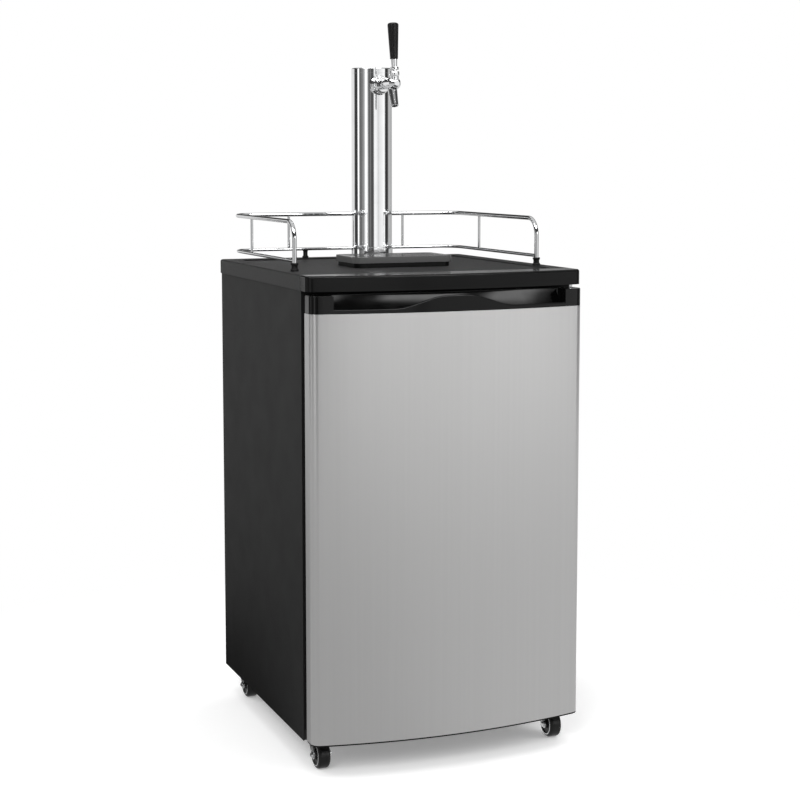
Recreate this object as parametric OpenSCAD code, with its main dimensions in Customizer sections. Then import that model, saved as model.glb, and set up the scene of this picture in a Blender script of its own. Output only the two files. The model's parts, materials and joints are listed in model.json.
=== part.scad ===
// Cold drink dispenser: an insulated keg cabinet on casters with a single tap tower
// Sizes in millimetres; origin on the floor under the middle, front towards -Y, up +Z

/* [Cabinet] */
// Width over the side panels
cabinet_w = 505; // [460:1:580]
// Depth from the front plane to the rear panel
cabinet_d = 490; // [440:1:560]
// Height of the side panels
cabinet_h = 779.5; // [640:0.5:900]
// Sheet thickness of the wrapper and panels
sheet_t = 1.5; // [0.8:0.1:2.5]
// Insulation in the side walls
side_foam = 32; // [24:1:45]
// Insulation in the rear wall
rear_foam = 50; // [35:1:65]
// Insulation under the worktop
top_foam = 40; // [30:1:60]
// Insulation under the cabin floor
floor_foam = 35; // [25:1:50]
// Wall of the inner liner
liner_t = 2; // [1.5:0.5:4]
// Depth of the compressor bay
bay_d = 163; // [150:1:185]
// Height of the compressor bay
bay_h = 227; // [205:1:260]

/* [Door] */
// Door thickness at its side edges
door_edge_t = 33; // [28:1:45]
// Forward bow of the door front
door_bow = 30; // [15:1:45]
// Radius of the vertical front edges
door_r = 16; // [12:1:19]
// Sheet thickness of the door skin
skin_t = 1.2; // [0.8:0.1:2]
// Gap between door and cabinet that the gasket fills
gasket_gap = 17; // [12:1:24]
// Height of the top trim
trim_h = 30.5; // [26:0.5:40]
// Height of the bottom trim that shows
foot_trim_h = 2.5; // [2:0.5:8]
// Gap between door top and worktop
door_gap = 6; // [4:0.5:10]
// Width of the grip pocket
grip_w = 430; // [360:1:446]
// Height of the grip lip beside the hump
lip_low = 7.3; // [5:0.1:12]
// Height of the grip lip at the hump
lip_high = 28; // [18:0.5:30]
// Half width of the flat part of the hump
hump_flat = 15; // [5:1:40]
// Half width of the whole hump
hump_half = 115; // [80:1:150]
// Thickness of the grip lip
lip_t = 5; // [3.5:0.5:7]

/* [Worktop] */
// Overhang beyond the side panels
worktop_side = 3; // [1:0.5:12]
// Worktop height
worktop_h = 26.5; // [20:0.5:40]
// Overhang behind the rear panel
worktop_rear = 7; // [3:1:15]
// Overhang of the front corners before the cabinet
worktop_front = 39; // [30:1:45]
// Forward bow of the front edge
worktop_bow = 29; // [15:1:40]
// Width of the raised rim
rim_w = 32.5; // [30:0.5:50]
// Depth of the recessed deck
deck_drop = 2.5; // [1:0.5:4]

/* [Cooling set] */
// Diameter of the compressor can
can_d = 124; // [100:1:128]
// Height of the compressor can
can_h = 128; // [110:1:135]
// Width of the compressor foot plate
foot_w = 210; // [190:1:230]
// Depth of the compressor foot plate
foot_d = 112; // [100:1:125]
// Height of the rubber mounts
mount_h = 15; // [10:1:20]
// Height of the drain pan
drain_h = 28; // [20:1:32]
// Bore of the gas line bush
gas_d = 13; // [10:0.5:14]
// Distance of the gas line bush under the cabinet top
gas_down = 230; // [150:1:400]
// Bore of the cord gland
cord_d = 8.4; // [7:0.2:10]

/* [Cabin] */
// Width of the evaporator plate
evap_w = 280; // [200:1:290]
// Width of the thermostat housing
housing_w = 84; // [60:1:100]
// Height of the thermostat housing
housing_h = 110; // [70:1:130]
// Depth of the thermostat housing
housing_d = 30; // [24:1:40]
// Diameter of the thermostat knob
knob_d = 38; // [30:1:44]
// Distance of the thermostat knob behind the cabinet front
knob_back = 190; // [130:1:230]
// Thickness of the keg floor plate
plate_t = 4; // [3:0.5:6]

/* [Guard rail] */
// Diameter of the upper tube
rail_d = 8; // [6:0.5:12]
// Diameter of the lower rod
rod_d = 6; // [4:0.5:8]
// Diameter of the struts
strut_d = 5; // [3:0.5:5.5]
// Height of the upper tube above the rim
rail_h = 85.5; // [60:0.5:140]
// Height of the lower rod above the rim
rod_h = 17.5; // [17:0.5:30]
// Inset of the rail from the worktop edge
rail_inset = 22.8; // [15:0.1:26]
// Distance of the posts behind the cabinet front
post_back = 94.5; // [40:0.5:180]
// Bend radius over the posts
post_bend = 32; // [20:1:40]
// Bend radius of the rear corners
rear_bend = 38; // [20:1:60]

/* [Tower] */
// Column diameter
tower_d = 76.2; // [70:0.1:90]
// Height over the deck
tower_h = 366.5; // [300:0.5:480]
// Distance of the column centre behind the middle
tower_y = 122.4; // [115:0.1:140]
// Column wall
tower_wall = 1.5; // [1:0.1:3]
// Cap height
cap_h = 10; // [6:0.5:16]
// Distance of the tap axis under the tower top
tap_drop = 33; // [28:1:60]
// Height of the base ring
ring_h = 30; // [20:1:60]

/* [Tap] */
// Diameter of the coupling nut
nut_d = 30; // [28:0.5:36]
// Diameter of the shank collar
collar_d = 37; // [32:0.5:40]
// Rest lean of the lever, backwards
lever_lean = 5; // [0:0.5:8]
// Handle length
handle_l = 66; // [50:1:120]
// Handle diameter at its foot
handle_d1 = 14.6; // [12:0.2:20]
// Handle diameter at its head
handle_d2 = 20.4; // [14:0.2:30]
// Spout mouth diameter
spout_d = 13.8; // [12:0.2:16]

/* [Drip tray] */
// Tray width
tray_w = 194; // [150:1:220]
// Tray depth
tray_d = 111; // [80:1:120]
// Tray height
tray_h = 20; // [18:1:30]
// Corner radius
tray_r = 14; // [10:1:20]

/* [Casters] */
// Wheel diameter
wheel_d = 49; // [44:1:52]
// Wheel width
wheel_w = 22; // [18:1:23]
// Distance of the wheel before its swivel axis
caster_trail = 22; // [18:1:24]
// Inset of the swivel axes from the side panels
caster_inset = 30.5; // [29:0.5:45]

/* [Hidden] */
$fn = 96;

// Depth levels, front to rear
all_d = gasket_gap + door_edge_t + door_bow + cabinet_d + worktop_rear;
y_apex = -all_d / 2;
y_door = y_apex + door_bow + door_edge_t;
y_front = y_door + gasket_gap;
y_rear = y_front + cabinet_d;
y_edge = y_rear + worktop_rear;
// Height levels
skirt_z = wheel_d + 1.5;
pan_t = 2;
pan_z = skirt_z + 12.5;
foam_z = pan_z + pan_t;
top_z = skirt_z + cabinet_h;
rim_z = top_z + worktop_h;
deck_z = rim_z - deck_drop;
skin_top_t = 7.5;
// Cabin
half_in = cabinet_w / 2 - sheet_t;
liner_x = half_in - side_foam;
liner_y = y_rear - sheet_t - rear_foam;
liner_z0 = foam_z + floor_foam;
liner_z1 = top_z - sheet_t - top_foam;
bay_y = y_rear - bay_d;
bay_z = foam_z + bay_h;
bay_wall = 36;
step_y = bay_y - bay_wall;
step_z = bay_z + 31;
flange_z = foam_z + 5;
liner_lip = 8;
mouth_x = liner_x + liner_lip;
mouth_z = liner_z1 + liner_lip;
line_r = 33;
// Worktop
worktop_w = cabinet_w + 2 * worktop_side;
rib_x = worktop_w / 4 - 3;
rib_t = 4;
// Door
door_a = cabinet_w / 2;
door_z0 = skirt_z + 4.5;
skin_z0 = door_z0 + foot_trim_h;
door_z1 = top_z - door_gap;
skin_z1 = door_z1 - trim_h;
panel_t = 3;
return_w = 12;
hinge_x = door_a - 14.5;
hinge_y = y_door - 12.5;
hinge_pin_r = 4;
hinge_end_r = 7;
hinge_t = 3;
bush_r = 7;
// Rail
rail_x = worktop_w / 2 - rail_inset;
rail_y = y_edge - rail_inset;
rail_z = rim_z + rail_h;
rod_z = rim_z + rod_h;
post_y = y_front + post_back;
side_strut_y = (post_y + rail_y) / 2 + 65;
rear_strut_x = 120;
rear_foot_x = 86;
// Tower
tower_r = tower_d / 2;
tower_z1 = deck_z + tower_h;
flange_t = 6;
flange_r = tower_r + 17;
tap_z = tower_z1 - tap_drop;
tap_y = tower_y - tower_r;
shank_nut_r = 17;
cap_plug = min(8, max(1.5, tap_drop - cap_h - shank_nut_r + 1));
// Tap stations along the shank axis, measured forwards from the column
collar_l = 8;
nut_l = 15;
shank_r = 11;
nut_y = tap_y - collar_l;
body_y = nut_y - nut_l;
lever_y = body_y - 57.1;
pivot_z = tap_z + 17.5;
seat_y = body_y - 17.3;
bore_r = 5;
lever_ball_r = 5.8;
faucet_cap_r = 7.2;
faucet_cap_y = lever_y - 6.5;
// Tray
tray_y1 = tower_y - flange_r - 2;
tray_y0 = tray_y1 - tray_d;
tray_foot_h = 8;
tray_foot_in = 4;
tray_floor_t = 2.5;
tray_wall = 9;
tray_ledge = 3;
grille_t = 3;
grille_drop = 3.5;
slot_w = 3.2;
slot_pitch = 6;
// Casters
wheel_r = wheel_d / 2;
caster_x = cabinet_w / 2 - caster_inset;
caster_y = [y_front + 20.5, y_rear - 43];
crown_z = wheel_d + 2;
crown_t = 3;
plate_half = 20;
// Cooling set
compressor_x = -60;
compressor_y = y_rear - 83;
can_r = can_d / 2;
foot_t = 3;
can_z = foam_z + mount_h + foot_t;
can_z1 = can_z + can_h;
can_edge_r = 18;
can_dome_r = 28;
seam_z = can_z + can_h / 2 + 2;
seam_w = 4;
mount_bolt_r = 4;
// Refrigerant tubes: place from the compressor axis, radius
tubes = [[10 - can_r, 4 - can_r, 4], [32 - can_r, -4 - can_r, 3.2]];
tube_z = seam_z - 14;
gland_x = half_in - 89;
gland_z = foam_z + 24;
gas_x = liner_x - 69;
gas_z = top_z - gas_down;
gas_wall = 2.5;
gas_hole_r = gas_d / 2 + gas_wall;

// Box between two corners
module span(p, q) {
  translate(p) cube(q - p);
}

// Cylinder along +Y from y0 to y1 at height z
module along_y(x, z, y0, y1, r, sides = 96) {
  translate([x, y0, z]) rotate([-90, 0, 0]) cylinder(r = r, h = y1 - y0, $fn = sides);
}

// Cylinder along +X
module along_x(y, z, x0, x1, r) {
  translate([x0, y, z]) rotate([0, 90, 0]) cylinder(r = r, h = x1 - x0);
}

// Cone along +Y
module cone_y(z, y0, y1, r0, r1) {
  translate([0, y0, z]) rotate([-90, 0, 0]) cylinder(r1 = r0, r2 = r1, h = y1 - y0);
}

// Points of an arc
function arc(c, r, a0, a1, n) =
  [for (k = [0 : n]) let (t = a0 + (a1 - a0) * k / n) [c[0] + r * cos(t), c[1] + r * sin(t)]];

// Points of a rounded rectangle
function round_rect(x0, x1, y0, y1, r, n = 8) = concat(
  arc([x1 - r, y1 - r], r, 0, 90, n),
  arc([x0 + r, y1 - r], r, 90, 180, n),
  arc([x0 + r, y0 + r], r, 180, 270, n),
  arc([x1 - r, y0 + r], r, 270, 360, n));

// Bowed plan: half width a, apex p, bow s, corner radius r
function bow_r(a, s) = (a * a + s * s) / (2 * s);
function bow_phi(a, s, r) = asin((a - r) / (bow_r(a, s) - r));
function bow_yf(a, p, s, r) = p + bow_r(a, s) - (bow_r(a, s) - r) * cos(bow_phi(a, s, r));

// Outline of a bowed plan, inset by i, with its back at b
function bow_plan(a, p, s, r, b, i, n = 48, m = 8) =
  let (big = bow_r(a, s), phi = bow_phi(a, s, r), yf = bow_yf(a, p, s, r))
  concat(
    [[a - i, b]],
    arc([a - r, yf], r - i, 360, 270 + phi, m),
    arc([0, p + big], big - i, 270 + phi * (1 - 2 / n), 270 - phi * (1 - 2 / n), n - 2),
    arc([r - a, yf], r - i, 270 - phi, 180, m),
    [[i - a, b]]);

// Hollow cover over a bowed plan: wall t from z0 up, slab from z1 to z2, top edge rounded by e
module bow_cover(a, p, s, r, b, t, z0, z1, z2, e) {
  outside = concat([[0, z0]], arc([e, z2 - e], e, 180, 90, 6));
  rings = concat(outside, [[t, z0], [t, z1]]);
  plans = [for (ring = rings) [for (q = bow_plan(a, p, s, r, b, ring[0])) [q[0], q[1], ring[1]]]];
  n = len(plans[0]);
  last = n - 1;
  top = n * (len(outside) - 1);
  foot = top + n;
  roof = foot + n;
  polyhedron(
    points = [for (plan = plans) each plan],
    faces = concat(
      [[for (k = [0 : last]) top + last - k], [for (k = [0 : last]) roof + k]],
      [for (j = [0 : len(outside) - 2], k = [0 : last - 1]) let (c = j * n + k)
        each [[c + 1, c, c + n], [c + 1, c + n, c + n + 1]]],
      [for (k = [0 : last - 1]) each [[k, k + 1, foot + k + 1], [k, foot + k + 1, foot + k]]],
      [for (k = [0 : last - 1]) let (c = foot + k) each [[c, c + 1, c + n], [c + n, c + 1, c + n + 1]]],
      [[0, foot, roof, n], [foot + last, last, n + last, roof + last]],
      [concat(
        [n, roof, roof + last],
        [for (j = [1 : len(outside) - 1]) j * n + last],
        [for (j = [len(outside) - 1 : -1 : 2]) j * n])]));
}

// Wall of thickness t that follows a bowed plan round both sides and the front
module bow_wall(a, p, s, r, b, t, z0, z1) {
  inner = bow_plan(a, p, s, r, b, t);
  last = len(inner) - 1;
  translate([0, 0, z0]) linear_extrude(z1 - z0)
    polygon(concat(bow_plan(a, p, s, r, b, 0), [for (k = [0 : last]) inner[last - k]]));
}

// Cabinet

// Wrapper of sides and top, with a return round the front that the gasket seals on
module cabinet_shell() color("#1c1c1e") difference() {
  span([-cabinet_w / 2, y_front, skirt_z], [cabinet_w / 2, y_rear, top_z]);
  span([-half_in, y_front + sheet_t, skirt_z - 1], [half_in, y_rear + 1, top_z - sheet_t]);
  span([-half_in, y_front - 1, skirt_z - 1], [half_in, y_front + 2 * sheet_t, flange_z]);
  span([-mouth_x, y_front - 1, skirt_z - 1], [mouth_x, y_front + 2 * sheet_t, mouth_z]);
  translate([0, tower_y, top_z - 5]) cylinder(r = line_r, h = 10);
}

module rear_panel() color("#222224") difference() {
  span([-half_in, y_rear - sheet_t, bay_z], [half_in, y_rear, top_z - sheet_t]);
  gas_line();
}

module bay_panel() color("#9a9c9e") difference() {
  union() {
    span([-half_in, bay_y - sheet_t, foam_z], [half_in, bay_y, bay_z]);
    span([-half_in, bay_y - sheet_t, bay_z - sheet_t], [half_in, y_rear, bay_z]);
  }
  refrigerant_rods();
}

// Hole for the gas line bush through the rear wall
module gas_line() along_y(gas_x, gas_z, liner_y - liner_t - 2, y_rear + 2, gas_hole_r);

// The space that the liner takes, outside
module liner_body(t) {
  span([-liner_x + t, y_front + liner_t - 3 * t, step_z + t], [liner_x - t, liner_y - t, liner_z1 - t]);
  span([-liner_x + t, y_front + liner_t - 3 * t, liner_z0 + t], [liner_x - t, step_y - t, liner_z1 - t]);
}

module cabinet_foam() color("#e4d9a8") difference() {
  span([-half_in, y_front + liner_t, foam_z], [half_in, y_rear - sheet_t, top_z - sheet_t]);
  liner_body(0);
  span([-half_in - 1, bay_y - sheet_t, foam_z - 1], [half_in + 1, y_rear + 1, bay_z]);
  translate([0, tower_y, liner_z1 - 5]) cylinder(r = line_r, h = 100);
  gas_line();
}

module inner_liner() color("#f2f2f0") difference() {
  union() {
    liner_body(0);
    span([-mouth_x, y_front, flange_z], [mouth_x, y_front + liner_t, mouth_z]);
  }
  liner_body(liner_t);
  translate([0, tower_y, liner_z1 - 10]) cylinder(r = line_r - 3, h = 20);
  gas_line();
}

module base_pan() color("#2a2a2c") {
  span([-half_in, y_front + sheet_t, pan_z], [half_in, y_rear, foam_z]);
  span([-half_in, y_front, skirt_z + 1.5], [half_in, y_front + sheet_t, flange_z]);
  span([-half_in, y_front + sheet_t, foam_z], [half_in, y_front + sheet_t + 0.5, flange_z]);
}

// Cooling set in the bay

module can_body() translate([compressor_x, compressor_y, 0]) rotate_extrude() polygon(concat(
  [[0, can_z], [can_r - can_edge_r, can_z]],
  arc([can_r - can_edge_r, can_z + can_edge_r], can_edge_r, 270, 360, 6),
  [[can_r, seam_z], [can_r + seam_w, seam_z], [can_r + seam_w, seam_z + seam_w]],
  [[can_r - 1, seam_z + seam_w], [can_r - 1, can_z1 - can_dome_r]],
  arc([can_r - 1 - can_dome_r, can_z1 - can_dome_r], can_dome_r, 10, 90, 7),
  [[0, can_z1]]));

module mount_places() for (x = [-1, 1], y = [-1, 1])
  translate([compressor_x + x * (foot_w / 2 - 17), compressor_y + y * (foot_d / 2 - 14), 0]) children();

module compressor() color("#1a1a1b") {
  can_body();
  difference() {
    translate([compressor_x - foot_w / 2, compressor_y - foot_d / 2, can_z - foot_t])
      cube([foot_w, foot_d, foot_t]);
    mount_places() translate([0, 0, foam_z]) cylinder(r = mount_bolt_r, h = mount_h + 15);
  }
}

module compressor_mounts() color("#141414") mount_places() {
  difference() {
    translate([0, 0, foam_z]) cylinder(r = 11, h = mount_h);
    translate([0, 0, foam_z - 1]) cylinder(r = mount_bolt_r, h = mount_h + 2);
  }
  translate([0, 0, foam_z]) cylinder(r = mount_bolt_r, h = mount_h + foot_t);
  translate([0, 0, can_z]) cylinder(r = 7.5, h = 5, $fn = 6);
}

module relay_cover() color("#101011") difference() {
  relay_half = 28;
  span([compressor_x + can_r - 22, compressor_y - relay_half, can_z + 8],
       [compressor_x + can_r + 34, compressor_y + relay_half, seam_z - 2]);
  translate([compressor_x, compressor_y, foam_z]) cylinder(r = can_r, h = can_h);
}

module drain_pan() color("#1d1d1f") translate([compressor_x, compressor_y, can_z1]) difference() {
  pan_wall = 2.5;
  half_d = can_r - 16;
  linear_extrude(drain_h) polygon(round_rect(-can_r, can_r, -half_d, half_d, 8));
  translate([0, 0, pan_wall]) linear_extrude(drain_h)
    polygon(round_rect(pan_wall - can_r, can_r - pan_wall, pan_wall - half_d, half_d - pan_wall, 6));
}

// Upright tubes from the compressor through the roof of the bay
module refrigerant_rods() for (p = tubes)
  translate([compressor_x + p[0], compressor_y + p[1], tube_z]) cylinder(r = p[2], h = bay_z - tube_z);

module refrigerant_lines() color("#b5673a") difference() {
  union() {
    refrigerant_rods();
    for (p = tubes) {
      place = [compressor_x + p[0], compressor_y + p[1]];
      translate([place[0], place[1], tube_z]) sphere(r = p[2]);
      along_y(place[0], tube_z, place[1], compressor_y, p[2]);
    }
  }
  translate([compressor_x, compressor_y, foam_z]) cylinder(r = can_r, h = can_h);
}

module cord_gland() color("#161617") difference() {
  plate_half_w = 22;
  union() {
    span([gland_x - plate_half_w, y_rear - 12, foam_z], [gland_x + plate_half_w, y_rear - 9, foam_z + 44]);
    along_y(gland_x, gland_z, y_rear - 24, y_rear, 10);
    along_y(gland_x, gland_z, y_rear - 20, y_rear - 12, 14, 6);
  }
  along_y(gland_x, gland_z, y_rear - 30, y_rear + 5, cord_d / 2);
}

// Pieces in the cabin

module evaporator_plate() color("#c9cccf") {
  back = liner_y - liner_t;
  z0 = step_z + 40;
  z1 = liner_z1 - 50;
  pitch = (z1 - z0 - 40) / 5;
  half = evap_w / 2 - 20;
  span([-half - 20, back - 10, z0], [half + 20, back - 8, z1]);
  for (x = [-1, 1], z = [z0 + 12, z1 - 12]) along_y(x * (half + 8), z, back - 8, back, 7);
  for (k = [0 : 5]) span([-half, back - 13, z0 + 16 + k * pitch], [half, back - 10, z0 + 24 + k * pitch]);
  for (k = [0 : 4]) {
    side = k % 2 == 0 ? 1 : -1;
    x0 = side * (half - 4);
    span([x0 - 4, back - 13, z0 + 24 + k * pitch], [x0 + 4, back - 10, z0 + 16 + (k + 1) * pitch]);
  }
}

knob_x = liner_x - liner_t - housing_d;
knob_y = y_front + knob_back;
knob_z = liner_z1 - 95;

knob_r = knob_d / 2;
spindle_r = 3;

module thermostat_housing() color("#e9e9e6") {
  half_w = housing_w / 2;
  half_h = housing_h / 2;
  difference() {
    span([knob_x, knob_y - half_w, knob_z - half_h], [liner_x - liner_t, knob_y + half_w, knob_z + half_h]);
    along_x(knob_y, knob_z, knob_x - 1, knob_x + 3, knob_r + 0.5);
  }
  along_x(knob_y, knob_z, knob_x - 8, knob_x + 4, spindle_r);
}

module thermostat_knob() color("#3a3a3c") difference() {
  union() {
    along_x(knob_y, knob_z, knob_x - 2, knob_x + 2.6, knob_r);
    along_x(knob_y, knob_z, knob_x - 13, knob_x - 2, knob_r - 5);
    span([knob_x - 16, knob_y - 3, knob_z - knob_r + 6], [knob_x - 12, knob_y + 3, knob_z + knob_r - 6]);
  }
  along_x(knob_y, knob_z, knob_x - 9, knob_x + 3, spindle_r + 0.3);
}

module gas_bush() color("#19191a") difference() {
  union() {
    along_y(gas_x, gas_z, liner_y - liner_t, y_rear, gas_hole_r);
    along_y(gas_x, gas_z, y_rear, y_rear + 3, gas_hole_r + 5);
  }
  along_y(gas_x, gas_z, liner_y - liner_t - 1, y_rear + 4, gas_d / 2);
}

module keg_floor_plate() color("#8f9295") translate([0, 0, liner_z0 + liner_t]) linear_extrude(plate_t)
  polygon(round_rect(-liner_x + 12, liner_x - 12, y_front + 22, step_y - liner_t - 6, 12));

// Worktop

// Section of the worktop edge: inset, height
edge_r = 4;
edge_w = 9;
edge_t = 4;
edge_section = concat(
  [[0, top_z], [0, rim_z - edge_r]],
  arc([edge_r, rim_z - edge_r], edge_r, 180, 90, 6),
  [[edge_w, rim_z], [edge_w, rim_z - skin_top_t], [edge_t, rim_z - skin_top_t], [edge_t, top_z]]);
seam_y = y_front - 3;
fascia_y = seam_y - 0.4;
under_z = rim_z - skin_top_t;
fascia_t = 2.5;
fascia_r = 14;
corner_r = 12;

// Edge section standing at the right side
module right_edge(x) translate([x, 0]) mirror([1, 0]) polygon(edge_section);

module worktop() color("#2b2b2d") {
  a = worktop_w / 2;
  r = corner_r;
  difference() {
    union() {
      for (m = [0, 1]) mirror([m, 0, 0]) {
        translate([0, y_edge - r, 0]) rotate([90, 0, 0]) linear_extrude(y_edge - r - seam_y) right_edge(a);
        translate([a - r, y_edge - r, 0]) rotate_extrude(angle = 90, start = 0) right_edge(r);
      }
      translate([r - a, 0, 0]) rotate([90, 0, 90]) linear_extrude(2 * (a - r)) right_edge(y_edge);
      translate([0, 0, rim_z - skin_top_t]) linear_extrude(skin_top_t) polygon(concat(
        [[7 - a, seam_y], [a - 7, seam_y]],
        arc([a - r, y_edge - r], r - 7, 0, 90, 6),
        arc([r - a, y_edge - r], r - 7, 90, 180, 6)));
      for (x = [-rib_x, rib_x])
        span([x - rib_t / 2, seam_y + 60, top_z], [x + rib_t / 2, y_edge - 3, rim_z - 5]);
      for (y = [seam_y + 130, y_edge - 60])
        span([3 - a, y - rib_t / 2, top_z], [a - 3, y + rib_t / 2, rim_z - 5]);
      translate([0, tower_y, top_z]) cylinder(r = flange_r + 4, h = worktop_h - 5);
      span([30 - a, fascia_y - 12, under_z - 4], [a - 30, seam_y + 16, under_z]);
    }
    translate([0, 0, deck_z]) linear_extrude(10)
      polygon(round_rect(rim_w - a, a - rim_w, seam_y + 12, y_edge - rim_w, 18));
    translate([0, tower_y, top_z - 1]) cylinder(r = line_r, h = worktop_h + 10);
    screw_places() translate([0, 0, deck_z - 14]) cylinder(r = 2.4, h = 20);
  }
}

module worktop_fascia() color("#262628") difference() {
  bow_cover(worktop_w / 2, y_front - worktop_front - worktop_bow, worktop_bow, fascia_r, fascia_y, fascia_t,
    top_z, under_z, rim_z, edge_r);
  top_hinge_plate(0.3);
}

// Guard rail

// One bent side with half of the rear run: height z, section radius r
module rail_side(z, r) {
  translate([rail_x, post_y + post_bend, z]) rotate([-90, 0, 0])
    cylinder(r = r, h = rail_y - rear_bend - post_y - post_bend);
  translate([rail_x - rear_bend, rail_y - rear_bend, z])
    rotate_extrude(angle = 90, start = 0) translate([rear_bend, 0]) circle(r = r);
}

module rail_run(z, r) {
  for (m = [0, 1]) mirror([m, 0, 0]) rail_side(z, r);
  along_x(rail_y, z, rear_bend - rail_x, rail_x - rear_bend, r);
}

module posts() for (m = [0, 1]) mirror([m, 0, 0]) {
  translate([rail_x, post_y, rim_z + 4]) cylinder(d = rail_d, h = rail_h - post_bend - 4);
  translate([rail_x, post_y + post_bend, rail_z - post_bend]) rotate([90, 0, 90])
    rotate_extrude(angle = 90, start = 90) translate([post_bend, 0]) circle(d = rail_d);
}

module guard_rail_upper() color("#d8dadc") {
  rail_run(rail_z, rail_d / 2);
  posts();
}

module guard_rail_lower() color("#d8dadc") difference() {
  union() {
    rail_run(rod_z, rod_d / 2);
    for (x = [-1, 1]) along_y(x * rail_x, rod_z, post_y, post_y + post_bend, rod_d / 2);
  }
  for (x = [-1, 1]) translate([x * rail_x, post_y, rim_z]) cylinder(d = rail_d, h = rail_h - post_bend);
}

module rail_struts() color("#d8dadc") difference() {
  for (x = [-1, 1]) {
    translate([x * rail_x, side_strut_y, rod_z]) cylinder(d = strut_d, h = rail_z - rod_z);
    translate([x * rear_strut_x, rail_y, rod_z]) cylinder(d = strut_d, h = rail_z - rod_z);
  }
  for (x = [-1, 1]) {
    along_y(x * rail_x, rod_z, side_strut_y - 20, side_strut_y + 20, rod_d / 2);
    along_y(x * rail_x, rail_z, side_strut_y - 20, side_strut_y + 20, rail_d / 2);
  }
  along_x(rail_y, rod_z, -rear_strut_x - 20, rear_strut_x + 20, rod_d / 2);
  along_x(rail_y, rail_z, -rear_strut_x - 20, rear_strut_x + 20, rail_d / 2);
}

// Spool-shaped foot of height h round a bar of radius r
module spool(r, h) rotate_extrude() polygon([
  [0, 0], [r + 3.2, 0], [r + 3.2, 2.5], [r + 1.4, 5],
  [r + 1.4, h - 4.5], [r + 2.6, h - 3], [r + 2.6, h], [0, h]]);

module rail_feet() color("#121213") for (x = [-1, 1]) {
  difference() {
    translate([x * rail_x, post_y, rim_z]) spool(rail_d / 2, rod_h - rod_d / 2 - 0.4);
    translate([x * rail_x, post_y, rim_z + 4]) cylinder(d = rail_d, h = rod_h);
  }
  difference() {
    translate([x * rear_foot_x, rail_y, rim_z]) spool(rod_d / 2, rod_h);
    along_x(rail_y, rod_z, x * rear_foot_x - 10, x * rear_foot_x + 10, rod_d / 2);
  }
}

// Tower

module screw_places() for (k = [0 : 3]) translate([0, tower_y, 0]) rotate(45 + 90 * k)
  translate([flange_r - 7, 0, 0]) children();

module tower_column() color("#d2d4d6") difference() {
  translate([0, tower_y, deck_z + flange_t]) cylinder(r = tower_r, h = tower_h - flange_t - cap_h);
  translate([0, tower_y, deck_z]) cylinder(r = tower_r - tower_wall, h = tower_h);
  along_y(0, tap_z, tap_y - 5, tap_y + 20, shank_r);
}

module tower_cap() color("#d6d8da") translate([0, tower_y, tower_z1]) rotate_extrude() polygon(concat(
  [[0, -cap_h - cap_plug], [tower_r - tower_wall, -cap_h - cap_plug]],
  [[tower_r - tower_wall, -cap_h], [tower_r, -cap_h]],
  arc([tower_r - 2, -2], 2, 0, 90, 5),
  [[0, 0]]));

module tower_flange() color("#d0d2d4") difference() {
  union() {
    translate([0, tower_y, deck_z]) cylinder(r = flange_r, h = flange_t);
    translate([0, tower_y, deck_z]) cylinder(r = tower_r + 1.3, h = ring_h);
  }
  translate([0, tower_y, deck_z - 1]) cylinder(r = line_r, h = 40);
  translate([0, tower_y, deck_z + flange_t]) cylinder(r = tower_r, h = 40);
  screw_places() translate([0, 0, deck_z - 5]) cylinder(r = 2.4, h = 20);
}

module tower_screws() color("#b8babc") screw_places() {
  translate([0, 0, deck_z - 12]) cylinder(r = 2.4, h = flange_t + 12);
  translate([0, 0, deck_z + flange_t]) cylinder(r = 4.6, h = 3);
}

// Shank and its nuts

module shank() color("#c2c4c6") difference() {
  along_y(0, tap_z, nut_y - 7.5, tap_y + 38, shank_r);
  along_y(0, tap_z, nut_y - 10, tap_y + 40, 4.8);
}

module shank_collar() color("#d4d6d8") difference() {
  union() {
    along_y(0, tap_z, nut_y + 3, tap_y + 8, collar_d / 2);
    cone_y(tap_z, nut_y, nut_y + 3, collar_d / 2 - 3, collar_d / 2);
  }
  translate([0, tower_y, tap_z - 40]) cylinder(r = tower_r, h = 80);
  along_y(0, tap_z, nut_y - 5, tap_y + 20, shank_r);
}

module shank_nut() color("#b4b6b8") difference() {
  intersection() {
    along_y(0, tap_z, tap_y, tap_y + 12, shank_nut_r, 6);
    translate([0, tower_y, tap_z - 40]) cylinder(r = tower_r - tower_wall, h = 80);
  }
  along_y(0, tap_z, tap_y - 5, tap_y + 20, shank_r);
}

module tailpiece() color("#bcbec0") {
  difference() {
    along_y(0, tap_z, tap_y + 28, tap_y + 44, 15, 6);
    along_y(0, tap_z, tap_y + 20, tap_y + 41, shank_r);
    along_y(0, tap_z, tap_y + 30, tap_y + 50, 8.2);
  }
  difference() {
    union() {
      along_y(0, tap_z, tap_y + 38, tap_y + 41, 10.6);
      along_y(0, tap_z, tap_y + 41, tap_y + 56, 7.8);
      translate([0, tap_y + 52, tap_z - 32]) cylinder(r = 3.9, h = 32);
      for (k = [0 : 2]) translate([0, tap_y + 52, tap_z - 32 + 7 * k]) cylinder(r1 = 3.9, r2 = 4.8, h = 6);
    }
    along_y(0, tap_z, tap_y + 30, tap_y + 53, 2.6);
    translate([0, tap_y + 52, tap_z - 40]) cylinder(r = 2.4, h = 40);
  }
}

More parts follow.
